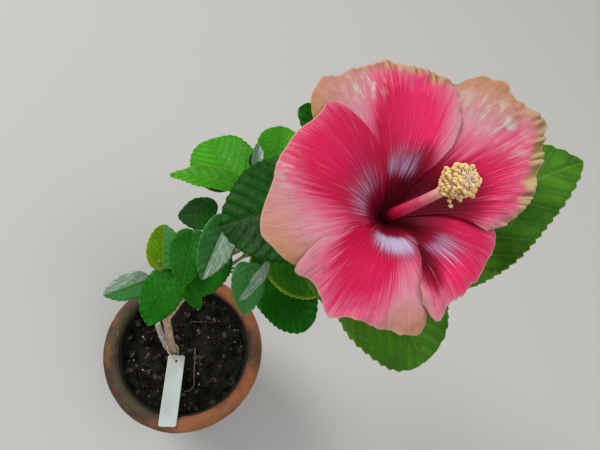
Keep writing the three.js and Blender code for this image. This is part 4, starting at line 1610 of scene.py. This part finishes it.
@dataclass
class Litter:
    """Grains, chips and twigs that lie on the soil."""

    soil: Object
    grains: tuple[Grain, ...] = (
        Grain("soil_crumbs", (1.0, 0.9, 0.8), 40000, 3, 0.0014, 0.0050),
        Grain("bark_chips", (1.6, 0.7, 0.35), 16000, 8, 0.0020, 0.0058),
        Grain("soil_clods", (1.2, 0.8, 0.5), 4600, 21, 0.0030, 0.0130),
        Grain("pale_grains", (1.0, 0.85, 0.75), 2200, 15, 0.0012, 0.0034),
    )
    twigs: tuple = (
        (0.5, ((3, 40), (18, 41), (34, 41))),
        (1.0, ((11, 4), (14, -20), (17, -44), (11, -52), (4, -54))),
        (0.4, ((26, -6), (20, -12), (14, -20))),
        (0.4, ((-52, -30), (-40, -26))),
        (0.4, ((40, -36), (31, -44))),
        (0.4, ((-30, 26), (-48, 24), (-58, 20))),
    )
    twig_height: float = 156.8
    upright: float = 0.4

    def tree(self, name: str, material: Material) -> tuple[Tree, dict[str, str]]:
        """Builds the tree that scatters copies of a grain over a surface's upper side.

        Args:
            name: The tree's name.
            material: The grains' material.

        Returns:
            The tree and the identifier of each named input.
        """
        tree = bpy.data.node_groups.new(name, "GeometryNodeTree")
        kinds = {
            "Surface": "Geometry", "Grain": "Object", "Density": "Float", "Seed": "Int", "Least": "Float",
            "Greatest": "Float",
        }
        sockets = {}
        for label, kind in kinds.items():
            socket = tree.interface.new_socket(label, in_out="INPUT", socket_type="NodeSocket" + kind)
            sockets[label] = socket.identifier
        tree.interface.new_socket("Grains", in_out="OUTPUT", socket_type="NodeSocketGeometry")
        nodes = Nodes(tree)
        ins, outs = nodes.add("NodeGroupInput").outputs, nodes.add("NodeGroupOutput").inputs
        normal = nodes.add("GeometryNodeInputNormal").outputs[0]
        steep = nodes.add("ShaderNodeSeparateXYZ", {"Vector": normal}).outputs["Z"]
        upward = nodes.add("FunctionNodeCompare", {"A": steep, "B": self.upright}, operation="GREATER_THAN")
        spots = nodes.add(
            "GeometryNodeDistributePointsOnFaces",
            {
                "Mesh": ins["Surface"], "Selection": upward.outputs[0], "Density": ins["Density"],
                "Seed": ins["Seed"],
            },
        )
        grain = nodes.add("GeometryNodeObjectInfo", {"Object": ins["Grain"]})
        spin = nodes.add("FunctionNodeRandomValue", {"Seed": ins["Seed"]}, data_type="FLOAT_VECTOR")
        nodes.put(spin.inputs["Max"], FULL_SPIN)
        size = nodes.add("FunctionNodeRandomValue", {"Seed": ins["Seed"]}, data_type="FLOAT")
        nodes.put(size.inputs[2], ins["Least"])
        nodes.put(size.inputs[3], ins["Greatest"])
        copies = nodes.add(
            "GeometryNodeInstanceOnPoints",
            {
                "Points": spots.outputs["Points"], "Instance": grain.outputs["Geometry"],
                "Rotation": spin.outputs["Value"], "Scale": size.outputs[1],
            },
        )
        real = nodes.add("GeometryNodeRealizeInstances", {"Geometry": copies.outputs[0]})
        dressed = nodes.add("GeometryNodeSetMaterial", {"Geometry": real.outputs[0], "Material": material})
        nodes.put(outs[0], dressed.outputs[0])
        return tree, sockets

    def lump(self, squash: Point, seed: float) -> Object:
        """A rough lump of about one unit, for the tree to copy.

        Args:
            squash: Its scale along each axis.
            seed: Moves its bumps.

        Returns:
            The lump, which is removed once it is copied.
        """
        lift, turn = np.array([-1.5, -0.7, 0.0, 0.7, 1.5]), np.linspace(0, 2 * np.pi, 9)[:-1]
        points = np.stack(ball(lift, turn), -1) * 0.5
        points *= (1 + 0.55 * roughen(points, 0.5, seed, 2))[..., None]
        points *= np.array(squash)
        mesh = bpy.data.meshes.new("grain")
        faces = [*grid_faces(5, 8, ring=True).tolist(), list(range(7, -1, -1)), list(range(32, 40))]
        mesh.from_pydata(points.reshape(-1, 3).tolist(), [], faces)
        return add_object("grain", mesh)

    def scatter(self, grain: Grain, material: Material) -> None:
        """Scatters one kind of grain and makes it a piece.

        Args:
            grain: The kind of grain.
            material: Its material.
        """
        lump = self.lump(grain.squash, grain.seed * 1.3)
        tree, sockets = self.tree(grain.name + "_tree", material)
        holder = add_object(grain.name + "_holder", self.soil.data)
        modifier = holder.modifiers.new("scatter", "NODES")
        modifier.node_group = tree
        values = {
            "Grain": lump, "Density": grain.density, "Seed": grain.seed, "Least": grain.least,
            "Greatest": grain.greatest,
        }
        for label, value in values.items():
            modifier[sockets[label]] = value
        mesh = settled_mesh(holder)
        for spare in (holder, lump):
            bpy.data.objects.remove(spare)
        hand_over(add_object(grain.name, mesh))

    def straws(self) -> Patch:
        """Lays a few thin dead twigs on the soil.

        Returns:
            The patch.
        """
        share = np.linspace(0, 1, 32)
        patches = []
        for k, (thick, way) in enumerate(self.twigs):
            knots = np.linspace(0, 1, len(way))
            x, y = (np.interp(share, knots, [point[i] for point in way]) for i in (0, 1))
            sway = np.sin(9.0 * share + k) * (0.5 + thick * 0.6)
            height = self.twig_height + 0.5 * np.sin(5.0 * share + 2 * k)
            line = soften(np.column_stack([x + sway, y, height]))
            patches.append(tube(line, thick * (1 - 0.4 * share) + 0.08 * np.sin(40 * share), 8))
        return join(patches)

    def build(self, plain: dict[str, Material]) -> None:
        """Makes all the litter.

        Args:
            plain: The plain materials by name.
        """
        for grain in self.grains:
            self.scatter(grain, plain[grain.name])
        make_piece("dead_straws", self.straws(), [plain["dead_straw"]])


@dataclass
class Label:
    """The plain plant label and the string that ties it to the trunk."""

    wide: float = 22
    thick: float = 1.0
    top: Point = (-11, -8.5, 166)
    bend: Point = (-12.4, -87, 180.9)
    end: Point = (-12.6, -98, 180.9)
    sag: float = 2.4
    curl: float = 0.8
    hole: float = 1.8
    hole_back: float = 8.0
    corner: float = 2.5
    string_radius: float = 0.5
    strand_radius: float = 0.48
    twist: float = 150
    string: tuple = (
        (-12.5, -15.6, 164), (-12.2, -16.4, 168), (-14, -13, 171.6), (-23, -6, 171), (-25, 1.5, 170),
        (-18, 8, 169.5), (-10.6, 2, 168.5), (-9.4, -5, 164), (-11, -11, 161.8),
    )

    def plate(self) -> Patch:
        """Builds the label's plate, with round corners.

        Returns:
            The patch.
        """
        top, bend, end = (np.array(p, float) for p in (self.top, self.bend, self.end))
        share = np.linspace(0, 1, 60)
        body = top + (bend - top) * share[:, None]
        body[:, 2] -= self.sag * np.sin(np.pi * share)
        line = np.concatenate([body, [bend + (end - bend) * t for t in np.linspace(0.1, 1, 10)]])
        length = distances(line)
        side = unit(np.cross(end - top, UPRIGHT))
        up = np.cross(side, unit(np.gradient(line, axis=0)))
        short = self.corner - np.minimum(np.minimum(length, length[-1] - length), self.corner)
        cut_off = self.corner - np.sqrt(np.clip(self.corner**2 - short**2, 0, None))
        x = np.linspace(-1, 1, 27)
        across = x * (self.wide / 2 - cut_off)[:, None]
        curl = (self.curl * x**2)[None, :, None]
        middle = line[:, None] + side * across[..., None] + up[:, None] * curl
        lift = up[:, None] * self.thick / 2
        return shell(middle + lift, middle - lift).flipped()

    def tie(self) -> Patch:
        """Builds the string as two twisted strands.

        Returns:
            The patch.
        """
        knots = np.array([*self.string, self.string[0]], float)
        share, wanted = np.linspace(0, 1, len(knots)), np.linspace(0, 1, 220)
        line = soften(np.stack([np.interp(wanted, share, knots[:, k]) for k in range(3)], 1), 14)
        ahead = unit(np.gradient(line, axis=0))
        side = unit(np.cross(ahead, UPRIGHT) + 1e-6)
        up = np.cross(side, ahead)
        strands = []
        for start in (0.0, np.pi):
            turn = (start + wanted * self.twist)[:, None]
            offset = side * np.cos(turn) + up * np.sin(turn)
            strand = line + offset * self.string_radius * 0.8
            strands.append(tube(strand, np.full(len(line), self.strand_radius), 8))
        return join(strands)

    def build(self, plastic: Material, string: Material) -> None:
        """Makes the label, with its hole, and its string.

        Args:
            plastic: The label's material.
            string: The string's material.
        """
        label = make_object("plant_label", self.plate(), [plastic])
        top, bend = np.array(self.top, float), np.array(self.bend, float)
        spot, reach = top + unit(bend - top) * self.hole_back, UPRIGHT * 6.0
        drill = tube(np.linspace(spot - reach, spot + reach, 4), np.full(4, self.hole), 20)
        cut(label, make_object("drill", drill, []))
        hand_over(label, ("label",))
        make_piece("label_string", self.tie(), [string], ("label_tie",))


# The bloom

@dataclass(frozen=True)
class Petal:
    """One petal: its directions in degrees, its rim's radius on the way, and where its colours lie."""

    node: str
    start: float
    stop: float
    rim: tuple[float, ...]
    lobe: tuple[float, float, float, float]
    eye: tuple[float, float, float, float]
    halo: tuple[float, float, float, float, float]
    fleck: tuple[float, float, float, float, float]
    tan: tuple[float, float, float, float]
    glow: tuple[float, float, float]
    side: tuple[float, ...]
    band: tuple[float, float, float] = (0, 20, 0)
    crimp: float = 1.0


@dataclass(frozen=True)
class Whorl:
    """Pointed sepals or bracts round the stalk: their count, the first one's direction and their shape."""

    count: int
    first: float
    inner: float
    outer: float
    low: float
    high: float
    wide: float
    rows: int


@dataclass
class Bloom:
    """The bloom in its own frame: the throat at the origin and the axis up."""

    throat: Point = (122, 22, 566)
    axis: Point = (-0.05, -0.2, 0.975)
    depth: float = 44
    spread: float = 26
    power: float = 1.35
    claw_start: float = 3.7
    tilt: float = 1.4
    tilt_gain: float = 1.8
    curl: float = 4
    curl_power: float = 8
    thick: float = 0.7
    size: float = 95
    along: int = 96
    across: int = 130
    lifts: tuple = ((34, 13, 3), (-50, -7, 3), (150, 3, 2))
    ruffle: float = 2.2
    ruffles: float = 9
    tip: Point = (134, 10, 638)
    column_foot: float = 3.9
    column_radii: tuple[float, float] = (4.2, 2.5)
    column_bow: float = 3
    anther_seed: int = 91
    anther_count: int = 170
    anther_reach: float = 8.9
    loose_anthers: tuple = ((11.0, -8.0), (9.0, -6.0))
    cluster: float = 9.0
    cup: tuple = (
        (-32, 3.2), (-30, 4.0), (-24, 6.0), (-16, 7.8), (-9.6, 8.6), (-5, 9.0), (-2, 8.8), (0.4, 5.0),
    )
    whorls: tuple[Whorl, ...] = (
        Whorl(5, 20, 7.2, 25.7, -6, 2.5, 13, 18), Whorl(7, 45, 4.0, 13.0, -27, -15, 2.6, 14),
    )
    stalk: tuple[Point, Point] = ((140, 50, 508), (134, 40, 522))
    stalk_radii: tuple[float, float] = (1.9, 2.5)
    hidden: tuple[float, ...] = (48, 46, 28, 12, 5, 2)
    petals: tuple[Petal, ...] = (
        Petal(
            "petal_top", 148, 64, (62, 74, 86.5, 89.5, 89.5, 90.5, 91, 92, 87, 87.5, 87, 85.5, 80),
            lobe=(88, 0.86, 25, 0.3), eye=(66, 20, 38, 24), halo=(86, 22, 26, 8, 0.6),
            fleck=(111, 8, 75, 9, 1.0), tan=(142, 20, 1.0, 0.35), glow=(76, 22, 1.0),
            side=(-4, -6, -12, -12, -7, -1), band=(84, 24, 0.75), crimp=1.2,
        ),
        Petal(
            "petal_right", 74, -17,
            (80, 88, 100, 100.5, 98.5, 102, 105.5, 94.5, 87.5, 80, 76, 68.5, 62.5, 59),
            # The eye reaches far here: the petal's own dark eye, stretched as painted shade beside the
            # column's foot.
            lobe=(10, 0.80, 30, 0.34), eye=(14, 40, 50, 26), halo=(64, 10, 38, 8, 0.25),
            fleck=(46, 17, 79, 9, 1.0), tan=(60, 24, 0.9, 0.4), glow=(10, 30, 0.45),
            side=(10, 12, 12, 9, 5, 3), band=(17, 25, 1.0), crimp=1.6,
        ),
        Petal(
            "petal_low_right", -6, -88, (58, 61, 62, 61.5, 61.2, 61.6, 62.5, 63.5, 64, 63, 65, 71, 67, 58),
            # The eye's long reach at -70 degrees is painted shade: a dark strip along the petal's rolled left
            # edge.
            lobe=(-38, 0.99, 34, 0.55), eye=(-70, 14, 52, 29), halo=(-42, 17, 33, 9, 0.55),
            fleck=(-60, 10, 50, 8, 0.0), tan=(-84, 12, 0.5, 0.0), glow=(-44, 36, 1.0),
            side=(45, 42, 23, 13, 7, 7), crimp=0.8,
        ),
        Petal(
            "petal_low_left", -76, -152, (67, 75.5, 76.5, 76, 75, 75, 75, 76, 82, 78, 75, 77, 80.5, 71),
            lobe=(-122, 0.88, 25, 0.36), eye=(-110, 60, 20, 18), halo=(-94, 35, 21, 7, 1.1),
            fleck=(-112, 16, 70, 6, 0.0), tan=(-86, 14, 0.8, 0.2), glow=(-112, 24, 0.45),
            side=(15, 15, 0, 3, 0, 3), crimp=0.9,
        ),
        Petal(
            "petal_left", 220, 128, (72, 77, 82, 87.5, 87, 82, 79.8, 78.5, 77.6, 77, 75, 72.5, 73.5, 79),
            lobe=(146, 0.95, 36, 0.4), eye=(165, 50, 19, 16), halo=(160, 46, 22, 10, 0.46),
            fleck=(174, 9, 73, 7, 0.5), tan=(208, 22, 0.9, 0.15), glow=(150, 40, 0.45),
            side=(-20, -20, -16, -10, -4, 0), crimp=0.5,
        ),
    )

    def __post_init__(self) -> None:
        """Works out the bloom's own directions."""
        self.up = unit(np.array(self.axis, float))
        east = np.array([1.0, 0.0, 0.0])
        self.east = unit(east - self.up * (east @ self.up))
        self.north = np.cross(self.up, self.east)

    def place(self, radius: Array, angle: Array, height: Array) -> Array:
        """Points from their distance to the axis, their direction in radians and their height."""
        x, y, z = (
            np.asarray(v, float)[..., None] for v in (radius * np.cos(angle), radius * np.sin(angle), height)
        )
        return np.array(self.throat, float) + x * self.east + y * self.north + z * self.up

    def height(self, radius: Array, angle: Array) -> Array:
        """Works out how high the petals stand, as in the part's own rule.

        Args:
            radius: The distance from the axis.
            angle: The direction in radians.

        Returns:
            The height of each point.
        """
        funnel = self.depth * (1 - np.exp(-((radius / self.spread) ** self.power)))
        share = radius / self.size
        lift = sum(
            by * np.clip(np.cos(angle - math.radians(at)), 0, None) ** power for at, by, power in self.lifts
        )
        wave = self.ruffle * np.sin(self.ruffles * angle) * share**3
        return funnel + lift * share**2 + wave

    def petal(self, petal: Petal, seed: float) -> Patch:
        """One petal as a thin shell with ribs, ruffles and a crimped rim.

        Args:
            petal: The petal.
            seed: Moves its fine relief.

        Returns:
            The patch.
        """
        u = np.linspace(0, 1, self.along)[:, None]
        v = np.linspace(-1, 1, self.across)[None, :]
        shares = np.linspace(0, 1, 6)
        first = petal.start + np.interp(u, shares, self.hidden)
        last = petal.stop + np.interp(u, shares, petal.side)
        degrees = (first + last) / 2 + v * (last - first) / 2
        angle = np.radians(degrees)
        knots = np.arange(len(petal.rim))
        place = (degrees[-1] - petal.start) / (petal.stop - petal.start) * knots[-1]
        edge = soften(np.interp(place, knots, petal.rim), 3)
        nick = noise_row(v[0] * 5.5, seed) * 1.6 + noise_row(v[0] * 17, seed + 3) * 0.9 * petal.crimp
        rim = (edge + nick)[None, :]
        corner = 1 - 0.1 * smooth(0.86, 1.0, np.abs(v)) * u
        radius = self.claw_start + (rim * corner - self.claw_start) * u
        tilt = (self.tilt + self.tilt_gain * u) * v
        height = self.height(radius, angle) + tilt - self.curl * u**self.curl_power
        flat = np.stack([radius * np.cos(angle), radius * np.sin(angle), 0 * radius], -1)
        near_rim = smooth(0.55, 1.0, u)
        creases = 1.5 * roughen(flat, 15, seed, 2) + 0.9 * roughen(flat, 6, seed + 2, 2)
        crimp = petal.crimp * creases * near_rim
        fold = 0.9 * roughen(flat, 30, seed + 4, 2) * smooth(0.2, 0.6, u)
        ribs = 0.1 * np.cos(degrees * 2 * np.pi / 4.2 + 2 * noise_row(v[0] * 3, seed)[None, :])
        ribs = ribs * smooth(0.1, 0.35, u) * (1 - 0.6 * near_rim)
        band_at, band_width, band = petal.band
        gate = band * bell(degrees, band_at, band_width, 4)
        loose = noise_row(v[0] * 8, seed + 8)[None, :]
        crinkle = np.sin(degrees * 2 * np.pi / 4.6 + 8.0 * loose + 3.0 * u) * (0.55 + 1.1 * np.abs(loose))
        crinkle = crinkle + 0.7 * noise_row(v[0] * 26, seed + 9)[None, :]
        height = height + crimp + fold + ribs + 1.5 * crinkle * gate * smooth(0.84, 1.0, u)
        middle = self.place(radius, angle, height)
        out = unit(np.cross(np.gradient(middle, axis=0), np.gradient(middle, axis=1)))
        if (out[self.along // 2, self.across // 2] @ self.up) < 0:
            out = -out
        values = self.tones(petal, degrees, radius, rim, u + 0 * v, v + 0 * u)
        values["band"] = gate * smooth(0.89, 0.97, u + 0.05 * noise_row(v[0] * 14, seed + 2)[None, :])
        values["crinkle"] = crinkle * np.ones_like(u)
        lift = out * (self.thick * (1 - 0.5 * u) / 2)[..., None]
        return shell(middle + lift, middle - lift, values).flipped()

    def tones(self, petal: Petal, degrees: Array, radius: Array, rim: Array, u: Array,
              v: Array) -> dict[str, Array]:
        """The values that the petals' material reads.

        Args:
            petal: The petal.
            degrees: The direction of each point.
            radius: Its distance from the axis.
            rim: The rim's distance in that direction.
            u: Its share of the way to the rim.
            v: Its place across the petal.

        Returns:
            The values by name.
        """
        at, reach, width, side = petal.lobe
        lobe = side + (reach - side) * bell(degrees, at, width, 4)
        eye_at, eye_width, eye_far, eye_near = petal.eye
        eye = eye_near + (eye_far - eye_near) * bell(degrees, eye_at, eye_width)
        halo_at, halo_width, halo_radius, halo_deep, halo = petal.halo
        fleck_at, fleck_width, fleck_radius, fleck_deep, fleck = petal.fleck
        tan_at, tan_width, tan_most, tan_least = petal.tan
        glow_at, glow_width, glow = petal.glow
        tan = tan_least + (tan_most - tan_least) * bell(degrees, tan_at, tan_width)
        fan = smooth(halo_radius - halo_deep, halo_radius, radius)
        fan = fan * (1 - smooth(halo_radius, halo_radius + 2.8 * halo_deep, radius)) ** 1.2
        return {
            "angle": np.radians(degrees),
            "radius": radius,
            "tone": u - lobe,
            "depth": radius - eye,
            "glow": glow * bell(degrees, glow_at, glow_width) * smooth(20, 50, radius),
            "halo": halo * bell(degrees, halo_at, halo_width, 4) * fan,
            "fleck": fleck * bell(degrees, fleck_at, fleck_width) * bell(radius, fleck_radius, fleck_deep),
            "tan": tan * smooth(0.6, 0.98, u),
            "rim": np.minimum(rim - radius, (1 - np.abs(v)) * radius * 0.7 + 5.0 * (1 - u)),
        }

    def column(self) -> tuple[Patch, Array, Array]:
        """The column's shaft.

        Returns:
            The patch, its tip and the way that it points.
        """
        foot = self.place(0, 0, self.column_foot)
        tip = np.array(self.tip, float)
        way = tip - foot
        bow = unit(np.cross(way, UPRIGHT)) * self.column_bow
        line = along_path((foot, foot + way / 2 + bow, tip), np.linspace(0, 1, 50))
        return tube(line, np.linspace(*self.column_radii, 50), 24), tip, unit(way)

    def anthers(self, tip: Array, way: Array) -> tuple[Patch, Patch, Patch]:
        """The filaments, the pollen knobs and the pads at the column's end.

        Args:
            tip: The middle of the cluster.
            way: The column's direction.

        Returns:
            The filaments, the knobs and the pads.
        """
        side = unit(np.cross(way, UPRIGHT))
        up = np.cross(side, way)

        def outwards(turn: float, ahead: float) -> Array:
            """The way out from the column at a turn in radians, leaning ahead."""
            return unit(side * math.cos(turn) + up * math.sin(turn) + way * ahead)

        dice = Dice(self.anther_seed)
        threads, knobs, pads = [], [], []
        for k in range(self.anther_count):
            t = -0.95 + 1.85 * (k + 0.5) / self.anther_count
            turn = math.radians(TURN_STEP * k)
            out = outwards(turn, dice.between((-0.1, 0.5)))
            reach = self.anther_reach * math.sqrt(max(1.08 - t * t, 0.1)) * dice.between((0.82, 1.05))
            start = tip + way * (t * self.cluster)
            end = start + out * reach
            threads.append(tube(np.linspace(start, end, 4), np.array([0.4, 0.32, 0.28, 0.28]), 6))
            knobs.append(knob(end + out * 0.5, dice.between((1.15, 1.6)), out, turn))
        for drop, ahead in self.loose_anthers:
            out = unit(np.array([-0.12 * ahead - 0.9, -1.0, -0.1]))
            start = tip + way * ahead
            threads.append(tube(np.linspace(start, start + out * drop, 6), np.full(6, 0.34), 6))
            knobs.append(knob(start + out * drop, 1.4, out, 0.4))
        for k in range(5):
            out = outwards(math.radians(72 * k + 20), 1.6)
            line = tip + way * self.cluster + out * np.linspace(0, 2.6, 6)[:, None]
            threads.append(tube(line, np.full(6, 0.55), 8))
            pads.append(knob(line[-1], 1.3, out, 0.0))
        line = tip + way * np.linspace(-self.cluster - 0.5, self.cluster, 14)[:, None]
        threads.append(tube(line, 3.6 * np.sqrt(np.clip(1.02 - np.linspace(-1, 1, 14) ** 2, 0.2, 1)), 20))
        return join(threads), join(knobs), join(pads)

    def calyx(self) -> Patch:
        """Builds the cup of sepals and the narrow bracts below it.

        Returns:
            The patch.
        """
        heights, radii = np.array(self.cup).T
        fine = np.linspace(heights[0], heights[-1], 40)
        line = self.place(0 * fine, 0 * fine, fine)
        ribbed = np.interp(fine, heights, radii)[:, None] * (1 + 0.05 * np.cos(5 * circle(40)))
        patches = [tube(line, ribbed, 40)]
        for whorl in self.whorls:
            for k in range(whorl.count):
                patches.append(self.pointed(whorl, math.radians(whorl.first + 360 / whorl.count * k)))
        return join(patches)

    def pointed(self, whorl: Whorl, angle: float) -> Patch:
        """A pointed sepal or bract.

        Args:
            whorl: The whorl that it belongs to.
            angle: Its direction in radians.

        Returns:
            The patch.
        """
        u = np.linspace(0, 1, whorl.rows)[:, None]
        x = np.linspace(-1, 1, 9)[None, :] * whorl.wide / 2 * np.maximum(1 - u**1.5, 0.05)
        radius = whorl.inner + (whorl.outer - whorl.inner) * u
        height = whorl.low + (whorl.high - whorl.low) * u + 1.2 * np.sin(np.pi * u) - 0.04 * x**2
        points = self.place(np.hypot(radius, x), angle + np.arctan2(x, radius), height)
        out = self.up * 0.45
        return shell(points + out, points - out)

    def build(self, petal: Material, green: Material, column: Material, pollen: Material,
              pad: Material) -> None:
        """Makes the bloom.

        Args:
            petal: The petals' material.
            green: The calyx's and the stalk's material.
            column: The column's and the filaments' material.
            pollen: The pollen knobs' material.
            pad: The pads' material.
        """
        for number, each in enumerate(self.petals):
            patch = self.petal(each, 5.0 + 7.7 * number)
            make_piece(each.node + "_blade", patch, [petal], (each.node,))
        make_piece("calyx_cup", self.calyx(), [green], ("calyx",))
        end = tuple(self.place(0.0, 0.0, self.cup[0][0]))
        line = along_path((*self.stalk, end), np.linspace(0, 1, 30))
        stalk = tube(line, np.linspace(*self.stalk_radii, 30), 20)
        make_piece("bloom_stalk", stalk, [green], ("flower_stalk",))
        shaft, tip, way = self.column()
        threads, knobs, pads = self.anthers(tip, way)
        threads.values["along"] = np.full(len(threads.points), 1.1)
        make_piece("bloom_column", join([shaft, threads]), [column], ("column",))
        make_piece("pollen_knobs", knobs, [pollen])
        make_piece("stigma_pads", pads, [pad])


def knob(centre: Array, radius: float, way: Array, turn: float) -> Patch:
    """A small bean of pollen.

    Args:
        centre: Its middle.
        radius: Its half length.
        way: The way that it faces.
        turn: How it is turned about that way.

    Returns:
        The patch.
    """
    first = unit(np.cross(way, [0.31, 0.2, 0.93]))
    second = np.cross(way, first)
    long = first * math.cos(turn) + second * math.sin(turn)
    short = np.cross(way, long)
    x, y, z = (part[..., None] * radius for part in ball(np.linspace(-1.45, 1.45, 6), circle(10)))
    points = long * x + short * (y * 0.72) + way * (z * 0.7)
    bend = way * (-0.25 * x**2)
    faces = [grid_faces(6, 10, ring=True), cap_faces(range(10)), cap_faces(range(59, 49, -1))]
    return Patch((centre + points + bend).reshape(-1, 3), np.concatenate(faces))


# The studio

@dataclass(frozen=True)
class Lamp:
    """A soft square light: where it stands in metres, its side, its power in watts and its colour."""

    name: str
    place: Point
    size: float
    power: float
    colour: tuple[float, float, float]

    def build(self, target: Point) -> None:
        """Adds the light.

        Args:
            target: What it points at, in metres.
        """
        data = bpy.data.lights.new(self.name, "AREA")
        data.shape = "SQUARE"
        data.size = self.size
        data.energy = self.power
        data.color = self.colour
        lamp = add_object(self.name, data)
        lamp.location = self.place
        lamp.rotation_euler = (Vector(target) - Vector(self.place)).to_track_quat("-Z", "Y").to_euler()


@dataclass
class Studio:
    """The floor, the lights and the camera at the photo's own angle."""

    frame_size: tuple[int, int] = (600, 450)
    focal_pixels: float = 451.0
    straight_down: tuple[float, float] = (180.0, 440.0)
    camera_place: Point = (4.77, -112.64, 818.11)
    sensor: float = 36.0
    floor_half: float = 4.0
    floor_colour: Colour = (202, 200, 196)
    floor_roughness: float = 0.75
    target: Point = (0.08, 0.05, 0.4)
    lamps: tuple[Lamp, ...] = (
        Lamp("window", (-3.2, 2.4, 4.0), 2.4, 185, (1.0, 0.98, 0.95)),
        Lamp("sky", (0.9, -0.8, 4.8), 3.4, 80, (0.95, 0.98, 1.0)),
        Lamp("fill", (2.8, -3.2, 2.2), 2.8, 30, (1.0, 0.97, 0.94)),
    )
    air_colour: tuple[float, float, float, float] = (0.92, 0.95, 1.0, 1)
    air_strength: float = 0.25

    def camera(self) -> None:
        """Makes the camera from its place and the pixel that lies straight below it."""
        middle = [side / 2 for side in self.frame_size]
        up = -unit(np.array([*(p - m for p, m in zip(self.straight_down, middle)), self.focal_pixels]))
        east = unit(np.array([1.0, 0, 0]) - up * up[0])
        world = np.stack([east, np.cross(up, east), up], 1)
        data = bpy.data.cameras.new("photo_camera")
        data.sensor_width = self.sensor
        data.lens = self.sensor * self.focal_pixels / self.frame_size[0]
        data.clip_start = 0.01
        camera = add_object("photo_camera", data)
        axes = Matrix([world[0], -world[1], -world[2]]).transposed().to_4x4()
        camera.matrix_world = Matrix.Translation(np.array(self.camera_place) * MM) @ axes
        bpy.context.scene.camera = camera

    def floor(self) -> None:
        """Lays the plain pale floor."""
        mesh = bpy.data.meshes.new("floor")
        signs = ((-1, -1), (1, -1), (1, 1), (-1, 1))
        corners = [(x * self.floor_half, y * self.floor_half, 0) for x, y in signs]
        mesh.from_pydata(corners, [], [(0, 1, 2, 3)])
        material, nodes = start_material("pale_floor")
        nodes.put(nodes.shader.inputs["Base Color"], self.floor_colour)
        nodes.put(nodes.shader.inputs["Roughness"], self.floor_roughness)
        mesh.materials.append(material)
        floor = add_object("floor", mesh)

    def air(self) -> None:
        """Sets the pale light that comes from all round."""
        world = bpy.data.worlds.new("studio")
        world.use_nodes = True
        background = world.node_tree.nodes["Background"]
        background.inputs["Color"].default_value = self.air_colour
        background.inputs["Strength"].default_value = self.air_strength
        bpy.context.scene.world = world
        bpy.context.scene.view_settings.view_transform = "Standard"

    def build(self) -> None:
        """Makes the whole studio."""
        self.camera()
        self.floor()
        for lamp in self.lamps:
            lamp.build(self.target)
        self.air()


def main() -> None:
    """Builds every piece in order."""
    logging.basicConfig(level=logging.INFO, format="%(message)s")
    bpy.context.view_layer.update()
    Studio().build()
    mottle = mottle_group()
    plain = {finish.name: finish.material(mottle) for finish in PLAIN_FINISHES}
    bark = BarkFinish().material(mottle)
    leaves = [LEAF_FINISHES[tint].material("leaf_" + tint.name.lower(), mottle) for tint in Tint]
    surface = Pot().build(ClayFinish().material(mottle), plain["black_plastic"], plain["potting_mix"])
    Litter(surface).build(plain)
    Limbs().build(bark, plain["dead_wood"])
    Foliage().build(leaves, bark)
    Label().build(plain["label_plastic"], plain["string"])
    Bloom().build(
        PetalFinish().material(), plain["sepal_green"], ColumnFinish().material(), plain["pollen"],
        plain["stigma"],
    )


if __name__ == "__main__":
    main()
